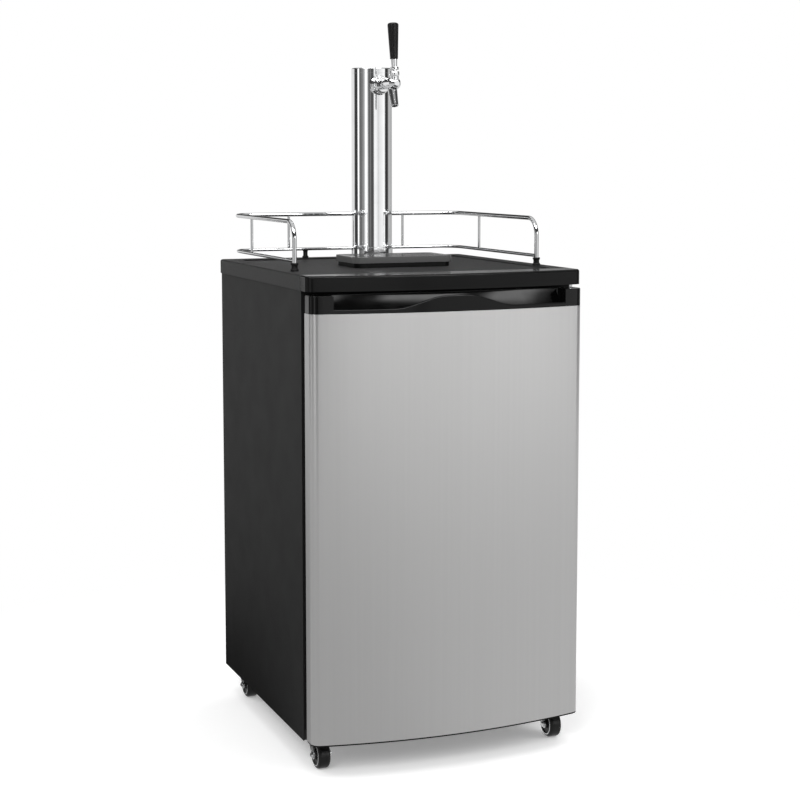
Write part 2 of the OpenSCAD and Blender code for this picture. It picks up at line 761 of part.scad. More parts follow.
module coupling_nut() color("#d4d6d8") difference() {
  union() {
    along_y(0, tap_z, body_y + 2, nut_y, nut_d / 2);
    cone_y(tap_z, body_y, body_y + 2, nut_d / 2 - 2, nut_d / 2);
  }
  along_y(0, tap_z, body_y + 2.1, nut_y + 5, shank_r);
  along_y(0, tap_z, body_y - 5, nut_y, 9.2);
  for (k = [0 : 5]) rotate_y(60 * k)
    translate([0, (body_y + nut_y) / 2 + 1, nut_d / 2 - 1.6]) cylinder(r = 2.4, h = 5);
}

// Turns about the shank axis
module rotate_y(a) translate([0, 0, tap_z]) rotate([0, a, 0]) children();

// Faucet

spout_run = [lever_y + 12.8, tap_z - 5];
spout_end = [lever_y - 1.4, tap_z - 41];
spout_l = norm(spout_end - spout_run);
spout_tilt = atan((spout_run[0] - spout_end[0]) / (spout_run[1] - spout_end[1]));

// Frame with its Z running up the spout from the mouth
module at_spout() translate([0, spout_end[0], spout_end[1]]) rotate([-spout_tilt, 0, 0]) children();

module faucet_body() color("#d4d6d8") difference() {
  union() {
    along_y(0, tap_z, body_y + 2.1, nut_y - 7.5, shank_r - 0.2);
    along_y(0, tap_z, lever_y + 32, body_y + 2.1, 9.2);
    cone_y(tap_z, lever_y + 28, lever_y + 32, 11.5, 9.2);
    along_y(0, tap_z, lever_y - 2, lever_y + 28, 11.5);
    cone_y(tap_z, faucet_cap_y, lever_y - 2, 7.6, 11.5);
    translate([0, lever_y, tap_z]) cylinder(r = 8, h = 13);
    at_spout() cylinder(r1 = spout_d / 2, r2 = 9.2, h = spout_l);
  }
  along_y(0, tap_z, seat_y, nut_y, 7.4);
  along_y(0, tap_z, lever_y - 8, seat_y + 1, bore_r);
  along_y(0, tap_z, lever_y - 15, faucet_cap_y, faucet_cap_r);
  at_spout() translate([0, 0, -1]) cylinder(r = spout_d / 2 - 2.2, h = spout_l + 1);
  translate([0, lever_y, tap_z]) cylinder(r = 6, h = 20);
  span([-3.4, lever_y - 5, tap_z], [3.4, lever_y + 11, tap_z + 10]);
  translate([0, lever_y, pivot_z]) sphere(r = lever_ball_r + 0.3);
}

module faucet_cap() color("#d4d6d8") difference() {
  union() {
    along_y(0, tap_z, faucet_cap_y - 3.5, faucet_cap_y, faucet_cap_r);
    cone_y(tap_z, faucet_cap_y - 6.5, faucet_cap_y - 3.5, 4.6, faucet_cap_r);
  }
  along_y(0, tap_z, lever_y - 11, lever_y, bore_r);
}

module lever_bonnet() color("#d6d8da") translate([0, lever_y, pivot_z]) difference() {
  union() {
    translate([0, 0, -4.5]) cylinder(r1 = 8, r2 = 9, h = 3);
    translate([0, 0, -1.5]) cylinder(r = 9, h = 3.6);
    translate([0, 0, 2.1]) cylinder(r1 = 9, r2 = 8, h = 2);
  }
  sphere(r = lever_ball_r + 0.3);
  translate([0, 0, -6]) cylinder(r = 5.5, h = 12);
  translate([0, 0, 3]) cylinder(r1 = 5.5, r2 = 6.4, h = 1.3);
}

// Frame of the lever at its pivot, at rest
module at_lever() translate([0, lever_y, pivot_z]) rotate([-lever_lean, 0, 0]) children();

module faucet_lever() color("#cfd1d3") at_lever() {
  sphere(r = lever_ball_r);
  cylinder(r = 3.4, h = 7.5);
  translate([0, 0, 7.5]) cylinder(r = 3, h = 32.5);
  translate([0, 0, -17.5]) cylinder(r = 2.2, h = 17.5);
  translate([0, 0, -17.5]) sphere(r = 2.6);
}

module lever_ferrule() color("#d6d8da") at_lever() difference() {
  union() {
    translate([0, 0, 7.5]) cylinder(r = 8.2, h = 4.2);
    translate([0, 0, 11.7]) cylinder(r1 = 5.2, r2 = 6, h = 14.7);
  }
  translate([0, 0, 7]) cylinder(r = 3, h = 30);
}

module tap_handle() color("#141415") at_lever() difference() {
  translate([0, 0, 26.4]) rotate_extrude() polygon(concat(
    [[0, 0], [handle_d1 / 2 - 1.5, 0]],
    arc([handle_d1 / 2 - 1.5, 1.5], 1.5, 270, 360, 4),
    arc([handle_d2 / 2 - 4, handle_l - 4], 4, 0, 90, 6),
    [[0, handle_l]]));
  translate([0, 0, 20]) cylinder(r = 3, h = 20);
}

module faucet_shaft() color("#b9bbbd") difference() {
  union() {
    along_y(0, tap_z, lever_y - 9, lever_y + 9, bore_r - 0.4);
    along_y(0, tap_z, lever_y + 9, seat_y + 0.3, 2.5);
    along_y(0, tap_z, seat_y + 0.3, seat_y + 4.3, 6.9);
    along_y(0, tap_z, seat_y + 4.3, seat_y + 7, 3.6);
  }
  slot_y = lever_y - 17.5 * sin(lever_lean);
  span([-3.1, slot_y - 4.5, tap_z - 3.4], [3.1, slot_y + 3.3, tap_z + 8]);
}

// Drip tray

module tray_plan(i) polygon(round_rect(-tray_w / 2 + i, tray_w / 2 - i, tray_y0 + i, tray_y1 - i, tray_r - i));

// Space inside the tray's wall between two heights
module tray_pocket(z0, z1)
  span([tray_wall - tray_w / 2, tray_y0 + tray_wall, z0], [tray_w / 2 - tray_wall, tray_y1 - tray_wall, z1]);

module drip_tray() color("#242426") difference() {
  union() {
    translate([0, 0, deck_z + tray_foot_h]) linear_extrude(tray_h - tray_foot_h) tray_plan(0);
    translate([0, 0, deck_z]) linear_extrude(tray_foot_h) tray_plan(tray_foot_in);
  }
  translate([0, 0, deck_z + tray_h - grille_drop]) linear_extrude(tray_h) tray_plan(tray_ledge);
  tray_pocket(deck_z - 1, deck_z + tray_h);
}

module tray_floor() color("#242426") tray_pocket(deck_z, deck_z + tray_floor_t);

module drip_grille() color("#2c2c2e") difference() {
  cols = floor((tray_w - 24) / slot_pitch);
  slot_l = (tray_d - 34) / 2;
  translate([0, 0, deck_z + tray_h - grille_drop]) linear_extrude(grille_t) tray_plan(tray_ledge + 0.4);
  for (k = [0 : cols - 1], row = [0, 1])
    translate([(k - (cols - 1) / 2) * slot_pitch - slot_w / 2, tray_y0 + 14 + row * (slot_l + 6), deck_z])
      cube([slot_w, slot_l, 2 * tray_h]);
}

// Door

module door_skin() color("#b9bab8") {
  bow_wall(door_a, y_apex, door_bow, door_r, y_door, skin_t, skin_z0, skin_z1);
  for (m = [0, 1]) mirror([m, 0, 0])
    span([door_a - return_w, y_door - skin_t, skin_z0], [door_a - skin_t / 2, y_door, skin_z1]);
}

// Plan of the door filled up to the liner, inset by i
module door_plan(i) polygon(bow_plan(door_a, y_apex, door_bow, door_r, y_door - panel_t, i));

// Height of the grip lip at x: low at both sides, with a smooth hump in the middle
function lip_height(x) =
  let (u = min(max((abs(x) - hump_flat) / (hump_half - hump_flat), 0), 1))
  lip_low + (lip_high - lip_low) * (1 + cos(180 * u)) / 2;

module door_top_trim() color("#0f0f10") difference() {
  pocket_y = y_door - panel_t - 9.5;
  union() {
    translate([0, 0, skin_z1]) linear_extrude(trim_h - 1) door_plan(0);
    translate([0, 0, door_z1 - 1]) linear_extrude(1) door_plan(0.8);
    translate([0, 0, skin_z1 - 12]) linear_extrude(12) door_plan(skin_t + 0.1);
  }
  translate([0, 0, skin_z1 + 3.5]) linear_extrude(trim_h) intersection() {
    door_plan(lip_t);
    translate([-grip_w / 2, y_apex]) square([grip_w, pocket_y - y_apex]);
  }
  translate([0, pocket_y, skin_z1]) rotate([90, 0, 0]) linear_extrude(pocket_y - y_apex + 5) polygon(concat(
    [for (k = [0 : 60]) let (x = grip_w * (k / 60 - 0.5)) [x, lip_height(x)]],
    [[grip_w / 2, trim_h + 5], [-grip_w / 2, trim_h + 5]]));
  translate([hinge_x, hinge_y, door_z1 - 20]) cylinder(r = bush_r, h = 40);
}

module door_bottom_trim() color("#0f0f10") difference() {
  union() {
    translate([0, 0, door_z0]) linear_extrude(foot_trim_h) door_plan(0);
    translate([0, 0, skin_z0]) linear_extrude(12) door_plan(skin_t + 0.1);
  }
  translate([hinge_x, hinge_y, door_z0 - 5]) cylinder(r = bush_r, h = 40);
}

// Raised panel of the door liner
module panel_block(t, back) span(
  [-liner_x + 30 + t, y_door - back, liner_z0 + 34 + t],
  [liner_x - 30 - t, y_door + gasket_gap + 12 - t, liner_z1 - 36 - t]);

module door_liner() color("#f0f0ee") difference() {
  union() {
    span([return_w - door_a, y_door - panel_t, door_z0], [door_a - return_w, y_door, door_z1]);
    panel_block(0, 0);
  }
  panel_block(2, panel_t + 1);
}

module door_foam() color("#e4d9a8") difference() {
  union() {
    translate([0, 0, skin_z0 + 12]) linear_extrude(skin_z1 - skin_z0 - 24) door_plan(skin_t + 0.1);
    panel_block(2, panel_t);
  }
  translate([hinge_x, hinge_y, skin_z0]) cylinder(r = bush_r, h = 30);
}

module door_gasket() color("#0c0c0d") {
  x1 = hinge_x - 1;
  x0 = liner_x;
  z0 = flange_z + 1;
  z1 = door_z1 - 5;
  w = x1 - x0;
  difference() {
    span([-x1, y_door, z0], [x1, y_front - 0.4, z1]);
    span([-x0, y_door - 1, z0 + w], [x0, y_front + 1, z1 - w]);
    difference() {
      span([-x1 - 1, y_door + 5, z0 - 1], [x1 + 1, y_door + 8, z1 + 1]);
      span([-x1 + 4, y_door, z0 + 4], [x1 - 4, y_front, z1 - 4]);
    }
  }
}

module door_bushings() color("#d9d9d4") translate([hinge_x, hinge_y, 0]) {
  difference() {
    translate([0, 0, door_z1 - 20]) cylinder(r = bush_r, h = 20.5);
    translate([0, 0, door_z1 - 18]) cylinder(r = hinge_pin_r + 0.3, h = 30);
  }
  difference() {
    translate([0, 0, door_z0]) cylinder(r = bush_r, h = 20);
    translate([0, 0, door_z0 - 5]) cylinder(r = hinge_pin_r + 0.3, h = 23);
  }
}

// Plate of the top hinge, grown by g
module top_hinge_plate(g) {
  span([hinge_x - 26 - g, hinge_y, top_z - g], [hinge_x + hinge_end_r + g, y_front + 56, top_z + hinge_t + g]);
  translate([hinge_x, hinge_y, top_z - g]) cylinder(r = hinge_end_r + g, h = hinge_t + 2 * g);
}

module top_hinge() color("#8d9093") {
  top_hinge_plate(0);
  translate([hinge_x, hinge_y, door_z1 - 16]) cylinder(r = hinge_pin_r, h = top_z - door_z1 + 17);
}

module bottom_hinge() color("#8d9093") {
  span([hinge_x - 30, y_front - 3, skirt_z + 1], [hinge_x + 12, y_front, flange_z - 1]);
  span([hinge_x - 11, hinge_y, skirt_z + 1], [hinge_x + 11, y_front - 3, skirt_z + 4]);
  translate([hinge_x, hinge_y, skirt_z + 1]) cylinder(r = 11, h = 3);
  translate([hinge_x, hinge_y, skirt_z + 3]) cylinder(r = hinge_pin_r, h = 16);
}

// Casters

module caster_places() for (x = [-1, 1], y = caster_y) translate([x * caster_x, y, 0]) children();

module caster_plates() color("#a9acaf") caster_places() {
  span([-plate_half, 2 - plate_half, pan_z - crown_t], [plate_half, 2 + plate_half, pan_z]);
  translate([0, 0, crown_z + 6.3]) cylinder(r = 14, h = pan_z - crown_t - crown_z - 6.3);
  translate([0, 0, crown_z - 2.4]) cylinder(r = 4, h = pan_z - crown_z);
  translate([0, 0, crown_z - 4.4]) cylinder(r = 6.5, h = 2);
}

// Fork with its axle; the swivel axis is the local Z
module fork() {
  leg_x0 = wheel_w / 2 + 1;
  leg_t = 2.2;
  difference() {
    intersection() {
      span([-leg_x0 - leg_t, -20, crown_z], [leg_x0 + leg_t, 20, crown_z + crown_t]);
      cylinder(r = 17, h = 100);
    }
    cylinder(r = 4.3, h = 100);
  }
  difference() {
    translate([0, 0, crown_z + crown_t]) cylinder(r = 12, h = 3);
    cylinder(r = 4.3, h = 100);
  }
  for (m = [0, 1]) mirror([m, 0, 0]) translate([leg_x0, 0, 0]) rotate([90, 0, 90]) linear_extrude(leg_t)
    polygon(concat(
      [[9, crown_z], [9, crown_z + crown_t], [-9, crown_z + crown_t], [-9, crown_z]],
      arc([-caster_trail, wheel_r], 8, 160, 340, 10)));
  translate([0, -caster_trail, wheel_r]) {
    rotate([0, 90, 0]) cylinder(r = 3, h = wheel_w + 12, center = true);
    for (m = [0, 1]) mirror([m, 0, 0]) {
      translate([leg_x0 + leg_t, 0, 0]) rotate([0, 90, 0]) cylinder(r = 5.8, h = 2.6);
      translate([leg_x0 + leg_t + 2.6, 0, 0]) rotate([0, 90, 0]) cylinder(r1 = 5.2, r2 = 2.6, h = 2.4);
    }
  }
}

module wheel() translate([0, -caster_trail, wheel_r]) rotate([0, 90, 0]) rotate_extrude() {
  w = wheel_w / 2;
  polygon(concat(
    [[3.3, -w], [9, -w], [9, -w + 1.6], [wheel_r - 7, -w + 1.6], [wheel_r - 6, -w]],
    arc([wheel_r - 5, -w + 5], 5, 270, 360, 5),
    arc([wheel_r - 5, w - 5], 5, 0, 90, 5),
    [[wheel_r - 6, w], [wheel_r - 7, w - 1.6], [9, w - 1.6], [9, w], [3.3, w]]));
}

module at_caster(side, row) translate([side * caster_x, caster_y[row], 0]) children();

module caster_fork_fl() color("#b7babd") at_caster(-1, 0) fork();
module caster_fork_fr() color("#b7babd") at_caster(1, 0) fork();
module caster_fork_rl() color("#b7babd") at_caster(-1, 1) fork();
module caster_fork_rr() color("#b7babd") at_caster(1, 1) fork();
module caster_wheel_fl() color("#121213") at_caster(-1, 0) wheel();
module caster_wheel_fr() color("#121213") at_caster(1, 0) wheel();
module caster_wheel_rl() color("#121213") at_caster(-1, 1) wheel();
module caster_wheel_rr() color("#121213") at_caster(1, 1) wheel();

cabinet_shell();
rear_panel();
bay_panel();
cabinet_foam();
inner_liner();
base_pan();
compressor();
compressor_mounts();
relay_cover();
drain_pan();
refrigerant_lines();
evaporator_plate();
thermostat_housing();
thermostat_knob();
cord_gland();
gas_bush();
keg_floor_plate();
worktop();
worktop_fascia();
guard_rail_upper();
guard_rail_lower();
rail_struts();
rail_feet();
tower_column();
tower_cap();
tower_flange();
tower_screws();
shank();
shank_collar();
shank_nut();
tailpiece();
coupling_nut();
faucet_body();
faucet_cap();
lever_bonnet();
faucet_lever();
lever_ferrule();
tap_handle();
faucet_shaft();
drip_tray();
tray_floor();
drip_grille();
door_skin();
door_top_trim();
door_bottom_trim();
door_liner();
door_foam();
door_gasket();
door_bushings();
top_hinge();
bottom_hinge();
caster_plates();
caster_fork_fl();
caster_fork_fr();
caster_fork_rl();
caster_fork_rr();
caster_wheel_fl();
caster_wheel_fr();
caster_wheel_rl();
caster_wheel_rr();
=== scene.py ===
"""Looks of the keg drink dispenser: finishes, edges, small fasteners, studio and camera."""
import json
import math
from collections import namedtuple

import bmesh
import bpy
from mathutils import Matrix, Vector


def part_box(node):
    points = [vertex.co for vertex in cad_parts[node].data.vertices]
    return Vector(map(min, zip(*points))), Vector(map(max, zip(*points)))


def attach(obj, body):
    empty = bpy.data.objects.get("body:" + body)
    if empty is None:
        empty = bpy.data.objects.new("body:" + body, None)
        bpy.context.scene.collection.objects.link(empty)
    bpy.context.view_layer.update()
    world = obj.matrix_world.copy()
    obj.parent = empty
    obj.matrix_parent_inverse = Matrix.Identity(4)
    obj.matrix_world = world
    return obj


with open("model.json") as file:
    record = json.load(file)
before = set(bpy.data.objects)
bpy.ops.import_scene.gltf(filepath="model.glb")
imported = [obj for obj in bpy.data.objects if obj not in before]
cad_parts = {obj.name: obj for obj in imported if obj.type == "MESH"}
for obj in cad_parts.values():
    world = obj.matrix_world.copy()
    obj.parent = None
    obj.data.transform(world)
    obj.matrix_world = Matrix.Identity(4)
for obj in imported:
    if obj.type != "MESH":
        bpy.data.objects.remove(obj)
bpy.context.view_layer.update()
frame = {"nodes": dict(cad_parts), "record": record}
nodes = frame["nodes"]
scene = bpy.context.scene

MM = 0.001
CORNERS = ("fl", "fr", "rl", "rr")


def even(level):
    """Grey colour of a linear level."""
    return (level, level, level, 1)


def tone(level, warm=0.0):
    """Linear colour of a display level from 0 to 255, a little warmer or cooler."""
    share = level / 255
    value = share / 12.92 if share <= 0.04045 else ((share + 0.055) / 1.055) ** 2.4
    return (value * (1 + warm), value, value * (1 - warm), 1)


class NodeGraph:
    """A node tree under construction."""

    def __init__(self, tree):
        self.tree = tree

    def add(self, kind, **settings):
        node = self.tree.nodes.new(kind)
        for key, value in settings.items():
            setattr(node, key, value)
        return node

    def link(self, source, target):
        self.tree.links.new(source, target)

    def feed(self, value, target):
        """Link a socket to an input, or set the input to a plain value."""
        if isinstance(value, bpy.types.NodeSocket):
            self.link(value, target)
        else:
            target.default_value = value

    def rescale(self, value, start, end, low=0.0, high=1.0, kind="LINEAR"):
        """Value between start and end, spread from low to high."""
        node = self.add("ShaderNodeMapRange", interpolation_type=kind)
        for socket, number in zip(("From Min", "From Max", "To Min", "To Max"), (start, end, low, high)):
            node.inputs[socket].default_value = number
        self.link(value, node.inputs["Value"])
        return node.outputs["Result"]

    def mix_colors(self, share, first, second):
        """First colour turned into the second by a share; each is a colour or a socket."""
        node = self.add("ShaderNodeMix", data_type="RGBA")
        colors = [socket for socket in node.inputs if socket.type == "RGBA"]
        self.link(share, node.inputs["Factor"])
        self.feed(first, colors[0])
        self.feed(second, colors[1])
        return [socket for socket in node.outputs if socket.type == "RGBA"][0]


# Materials

# Range that most values of a noise lie in
NOISE_LOW = 0.3
NOISE_HIGH = 0.7
# Height of the drip tray's foot, and half the height over which its colour changes from the painted shade on
# the foot to the pale grey above
TRAY_FOOT = 8 * MM
TRAY_SHADE_BLEND = 0.3 * MM


class Surface(NodeGraph):
    """A principled material whose detail comes from noise in object coordinates, in metres."""

    def __init__(self, name, color, roughness, metallic=0.0, **sockets):
        self.name = name
        self.material = bpy.data.materials.new(name)
        self.material.use_nodes = True
        super().__init__(self.material.node_tree)
        self.shader = self.tree.nodes["Principled BSDF"]
        self.shader.inputs["Base Color"].default_value = color
        self.shader.inputs["Roughness"].default_value = roughness
        self.shader.inputs["Metallic"].default_value = metallic
        for socket, value in sockets.items():
            self.shader.inputs[socket.replace("_", " ")].default_value = value
        self.place = self.add("ShaderNodeTexCoord").outputs["Object"]

    def noise(self, size, detail, stretch=(1, 1, 1)):
        """Noise whose blobs measure about size, longer along an axis by its stretch."""
        mapping = self.add("ShaderNodeMapping")
        mapping.inputs["Scale"].default_value = [1 / (size * share) for share in stretch]
        self.link(self.place, mapping.inputs["Vector"])
        texture = self.add("ShaderNodeTexNoise")
        texture.inputs["Scale"].default_value = 1.0
        texture.inputs["Detail"].default_value = detail
        self.link(mapping.outputs["Vector"], texture.inputs["Vector"])
        return texture.outputs["Fac"]

    def cells(self, size):
        """Outputs of a pattern with cells of about the given size."""
        texture = self.add("ShaderNodeTexVoronoi")
        texture.inputs["Scale"].default_value = 1 / size
        self.link(self.place, texture.inputs["Vector"])
        return texture.outputs

    def height(self):
        """Height in the object's own frame, in metres."""
        node = self.add("ShaderNodeSeparateXYZ")
        self.link(self.place, node.inputs["Vector"])
        return node.outputs["Z"]

    def vary_color(self, value, dark, light, start=NOISE_LOW, end=NOISE_HIGH):
        """Colour from dark to light as a value goes from start to end."""
        share = self.rescale(value, start, end)
        self.link(self.mix_colors(share, dark, light), self.shader.inputs["Base Color"])

    def vary_roughness(self, value, low, high, start=NOISE_LOW, end=NOISE_HIGH):
        """Roughness from low to high as a value goes from start to end."""
        self.link(self.rescale(value, start, end, low, high), self.shader.inputs["Roughness"])

    def bump(self, height, depth, strength):
        """Raise the surface by depth, in metres, where the height value is 1."""
        node = self.add("ShaderNodeBump")
        node.inputs["Distance"].default_value = depth
        node.inputs["Strength"].default_value = strength
        self.link(height, node.inputs["Height"])
        self.link(node.outputs["Normal"], self.shader.inputs["Normal"])
        return self


def black_paint(name, level, gloss):
    """Paint on sheet steel, of a display level and a specular level."""
    look = Surface(name, tone(level), 0.5, Specular_IOR_Level=gloss)
    look.vary_color(look.noise(0.25, 2), tone(level - 1), tone(level + 1))
    look.vary_roughness(look.noise(60 * MM, 2), 0.48, 0.52)
    return look.bump(look.noise(0.9 * MM, 2), 0.01 * MM, 0.3)


def galvanised():
    look = Surface("galvanised", tone(188), 0.4, 1.0)
    spangle = look.cells(14 * MM)["Color"]
    look.vary_color(spangle, tone(170), tone(200), 0.0, 1.0)
    look.vary_roughness(spangle, 0.3, 0.5, 0.0, 1.0)
    return look.bump(look.noise(6 * MM, 3), 0.05 * MM, 0.3)


def foam():
    look = Surface("foam", (0.78, 0.68, 0.38, 1), 0.85)
    look.vary_color(look.noise(8 * MM, 4), (0.7, 0.6, 0.32, 1), (0.84, 0.75, 0.46, 1))
    return look.bump(look.cells(2 * MM)["Distance"], 0.4 * MM, 0.6)


def white_plastic():
    look = Surface("white_plastic", tone(226), 0.42, Specular_IOR_Level=0.2)
    look.vary_color(look.noise(0.2, 2), tone(224, 0.004), tone(228))
    look.vary_roughness(look.noise(0.1, 2), 0.4, 0.45)
    return look.bump(look.noise(1.2 * MM, 2), 0.01 * MM, 0.3)


def black_rubber():
    look = Surface("black_rubber", tone(22), 0.62, Specular_IOR_Level=0.12)
    look.vary_color(look.noise(10 * MM, 3), tone(19), tone(26))
    look.vary_roughness(look.noise(3 * MM, 3), 0.55, 0.7)
    return look.bump(look.noise(0.5 * MM, 2), 0.03 * MM, 0.5)


def black_plastic():
    look = Surface("black_plastic", tone(28), 0.45, Specular_IOR_Level=0.16)
    look.vary_color(look.noise(60 * MM, 3), tone(26), tone(31))
    look.vary_roughness(look.noise(8 * MM, 3), 0.4, 0.5)
    return look.bump(look.noise(0.7 * MM, 2), 0.04 * MM, 0.5)


def tray_plastic():
    """Gloss plastic, pale above the tray's foot as partly painted reflection, and black on the foot as
    painted shade.
    """
    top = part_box("drip_tray")[0].z + TRAY_FOOT
    look = Surface("tray_plastic", tone(84), 0.16, Specular_IOR_Level=0.3)
    # Black on the foot is painted shade under the tray; the pale grey above it is partly a painted reflection
    look.vary_color(look.height(), tone(2), tone(84), top - TRAY_SHADE_BLEND, top + TRAY_SHADE_BLEND)
    look.vary_roughness(look.noise(8 * MM, 3), 0.13, 0.2)
    return look.bump(look.noise(0.9 * MM, 2), 0.01 * MM, 0.3)


def copper():
    look = Surface("copper", (0.72, 0.33, 0.18, 1), 0.28, 1.0)
    look.vary_color(look.noise(14 * MM, 4), (0.5, 0.2, 0.1, 1), (0.8, 0.4, 0.24, 1))
    look.vary_roughness(look.noise(5 * MM, 3), 0.22, 0.42)
    return look.bump(look.noise(1.0 * MM, 2), 0.02 * MM, 0.4)


def aluminium():
    look = Surface("aluminium", tone(205), 0.36, 1.0)
    rolled = look.noise(0.4 * MM, 2, (60, 60, 1))
    look.vary_color(look.noise(50 * MM, 2), tone(196), tone(212))
    look.vary_roughness(rolled, 0.3, 0.44)
    return look.bump(rolled, 0.01 * MM, 0.4)


def grey_plastic():
    look = Surface("grey_plastic", tone(74), 0.45)
    look.vary_color(look.noise(15 * MM, 3), tone(68), tone(80))
    look.vary_roughness(look.noise(3 * MM, 3), 0.4, 0.52)
    return look.bump(look.noise(0.5 * MM, 2), 0.03 * MM, 0.5)


def plate_steel():
    look = Surface("plate_steel", tone(176), 0.36, 1.0)
    brushed = look.noise(0.5 * MM, 3, (80, 1, 1))
    look.vary_color(brushed, tone(164), tone(186))
    look.vary_roughness(look.noise(30 * MM, 4), 0.3, 0.46)
    return look.bump(brushed, 0.02 * MM, 0.4)


def worktop_plastic(name, level, low, high):
    """Grained moulding of a display level, with a roughness from low to high."""
    look = Surface(name, tone(level), low, Specular_IOR_Level=0.1)
    grain = look.noise(0.8 * MM, 3)
    look.vary_color(look.noise(80 * MM, 3), tone(level - 1), tone(level + 1))
    look.vary_roughness(grain, low, high)
    return look.bump(grain, 0.03 * MM, 0.3)


def chrome(name, level, low, high):
    """Bright metal of a display level, with a roughness from low to high."""
    look = Surface(name, tone(level, -0.008), low, 1.0)
    look.vary_color(look.noise(30 * MM, 2), tone(level - 5, -0.008), tone(level + 3, -0.008))
    look.vary_roughness(look.noise(9 * MM, 4), low, high)
    return look


def tower_steel():
    look = chrome("tower_steel", 226, 0.06, 0.09)
    polished = look.noise(0.35 * MM, 2, (1, 1, 120))
    return look.bump(polished, 0.001 * MM, 0.1)


def handle_plastic():
    look = Surface("handle_plastic", tone(22), 0.3, Specular_IOR_Level=0.16)
    look.vary_color(look.noise(20 * MM, 2), tone(20), tone(25))
    look.vary_roughness(look.noise(5 * MM, 3), 0.26, 0.36)
    return look.bump(look.noise(0.6 * MM, 2), 0.01 * MM, 0.4)


def door_steel():
    look = Surface("door_steel", tone(196), 0.32, 1.0, Anisotropic=0.45)
    hair = look.noise(0.35 * MM, 3, (1, 1, 400))
    streak = look.noise(5 * MM, 3, (1, 1, 120))
    look.vary_color(streak, tone(195, 0.004), tone(197, 0.004))
    look.vary_roughness(hair, 0.3, 0.34)
    tangent = look.add("ShaderNodeTangent", direction_type="RADIAL", axis="Z")
    look.link(tangent.outputs["Tangent"], look.shader.inputs["Tangent"])
    return look.bump(hair, 0.002 * MM, 0.2)


def gloss_black():
    look = Surface("gloss_black", tone(9), 0.07, Specular_IOR_Level=0.18)
    look.vary_color(look.noise(0.1, 2), tone(8), tone(10))
    look.vary_roughness(look.noise(20 * MM, 3), 0.05, 0.09)
    return look.bump(look.noise(18 * MM, 1), 0.03 * MM, 0.2)


def zinc():
    look = Surface("zinc", tone(208, -0.01), 0.24, 1.0)
    look.vary_color(look.noise(7 * MM, 3), tone(196, -0.012), tone(214, -0.006))
    look.vary_roughness(look.noise(3 * MM, 3), 0.18, 0.32)
    return look.bump(look.noise(1.2 * MM, 2), 0.015 * MM, 0.4)


def wheel_plastic():
    look = Surface("wheel_plastic", tone(20), 0.36, Specular_IOR_Level=0.2)
    look.vary_color(look.noise(10 * MM, 3), tone(19), tone(27))
    look.vary_roughness(look.noise(4 * MM, 3), 0.3, 0.45)
    return look.bump(look.noise(0.8 * MM, 2), 0.03 * MM, 0.4)


def dress(node, material):
    """Give a node's solids one finish."""
    for slot in nodes[node].material_slots:
        slot.material = material


# Finishes of the record's slots, then those of the few nodes that differ from their slot
surfaces = {look.name: look.material for look in (
    black_paint("black_paint", 34, 0.2), galvanised(), foam(), white_plastic(), black_rubber(),
    black_plastic(), copper(), aluminium(), grey_plastic(), plate_steel(),
    # The worktop's plastic gets a lighter tone than the fascia's copy of it, painted light on the deck and
    # apron
    worktop_plastic("worktop_plastic", 33, 0.4, 0.5), chrome("rail_chrome", 203, 0.06, 0.11), tower_steel(),
    chrome("tap_chrome", 230, 0.05, 0.1), handle_plastic(), door_steel(), gloss_black(), zinc(),
    wheel_plastic())}
for row in frame["record"]["subparts"]:
    dress(row["node"], surfaces[row["material_slot"]])
# Tray finish with painted shade on the foot and a partly painted reflection above it
tray_painted_finish = tray_plastic().material
for node in ("drip_tray", "tray_floor", "drip_grille"):
    dress(node, tray_painted_finish)
# The fascia's darker tone of the worktop's plastic is painted shade on its front face
dress("worktop_fascia", worktop_plastic("fascia_plastic", 17, 0.12, 0.18).material)
dress("cabinet_shell", black_paint("wrapper_paint", 22, 0.1).material)


# Edges of the solids

# Least angle of a sharp edge, and the most between faces that count as one flat face
SHARP = math.radians(38)
FLAT = math.radians(0.05)
# Distance within which corners are joined
WELD = 0.01 * MM
# Steps of a rounding, on plain nodes and on nodes with zones
PLAIN_STEPS = 2
ZONE_STEPS = 5

# Part of a node with roundings of its own, in millimetres: how far it lies in from the node's box at both
# sides, front, back, bottom and top, then the rounding of its outer and of its hollow corners
Zone = namedtuple("Zone", "side front back bottom top outer hollow")


def zone_box(node, zone):
    """Low and high corner of a node's zone, in metres."""
    low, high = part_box(node)
    start = low + Vector((zone.side, zone.front, zone.bottom)) * MM
    end = high - Vector((zone.side, zone.back, zone.top)) * MM
    return start, end


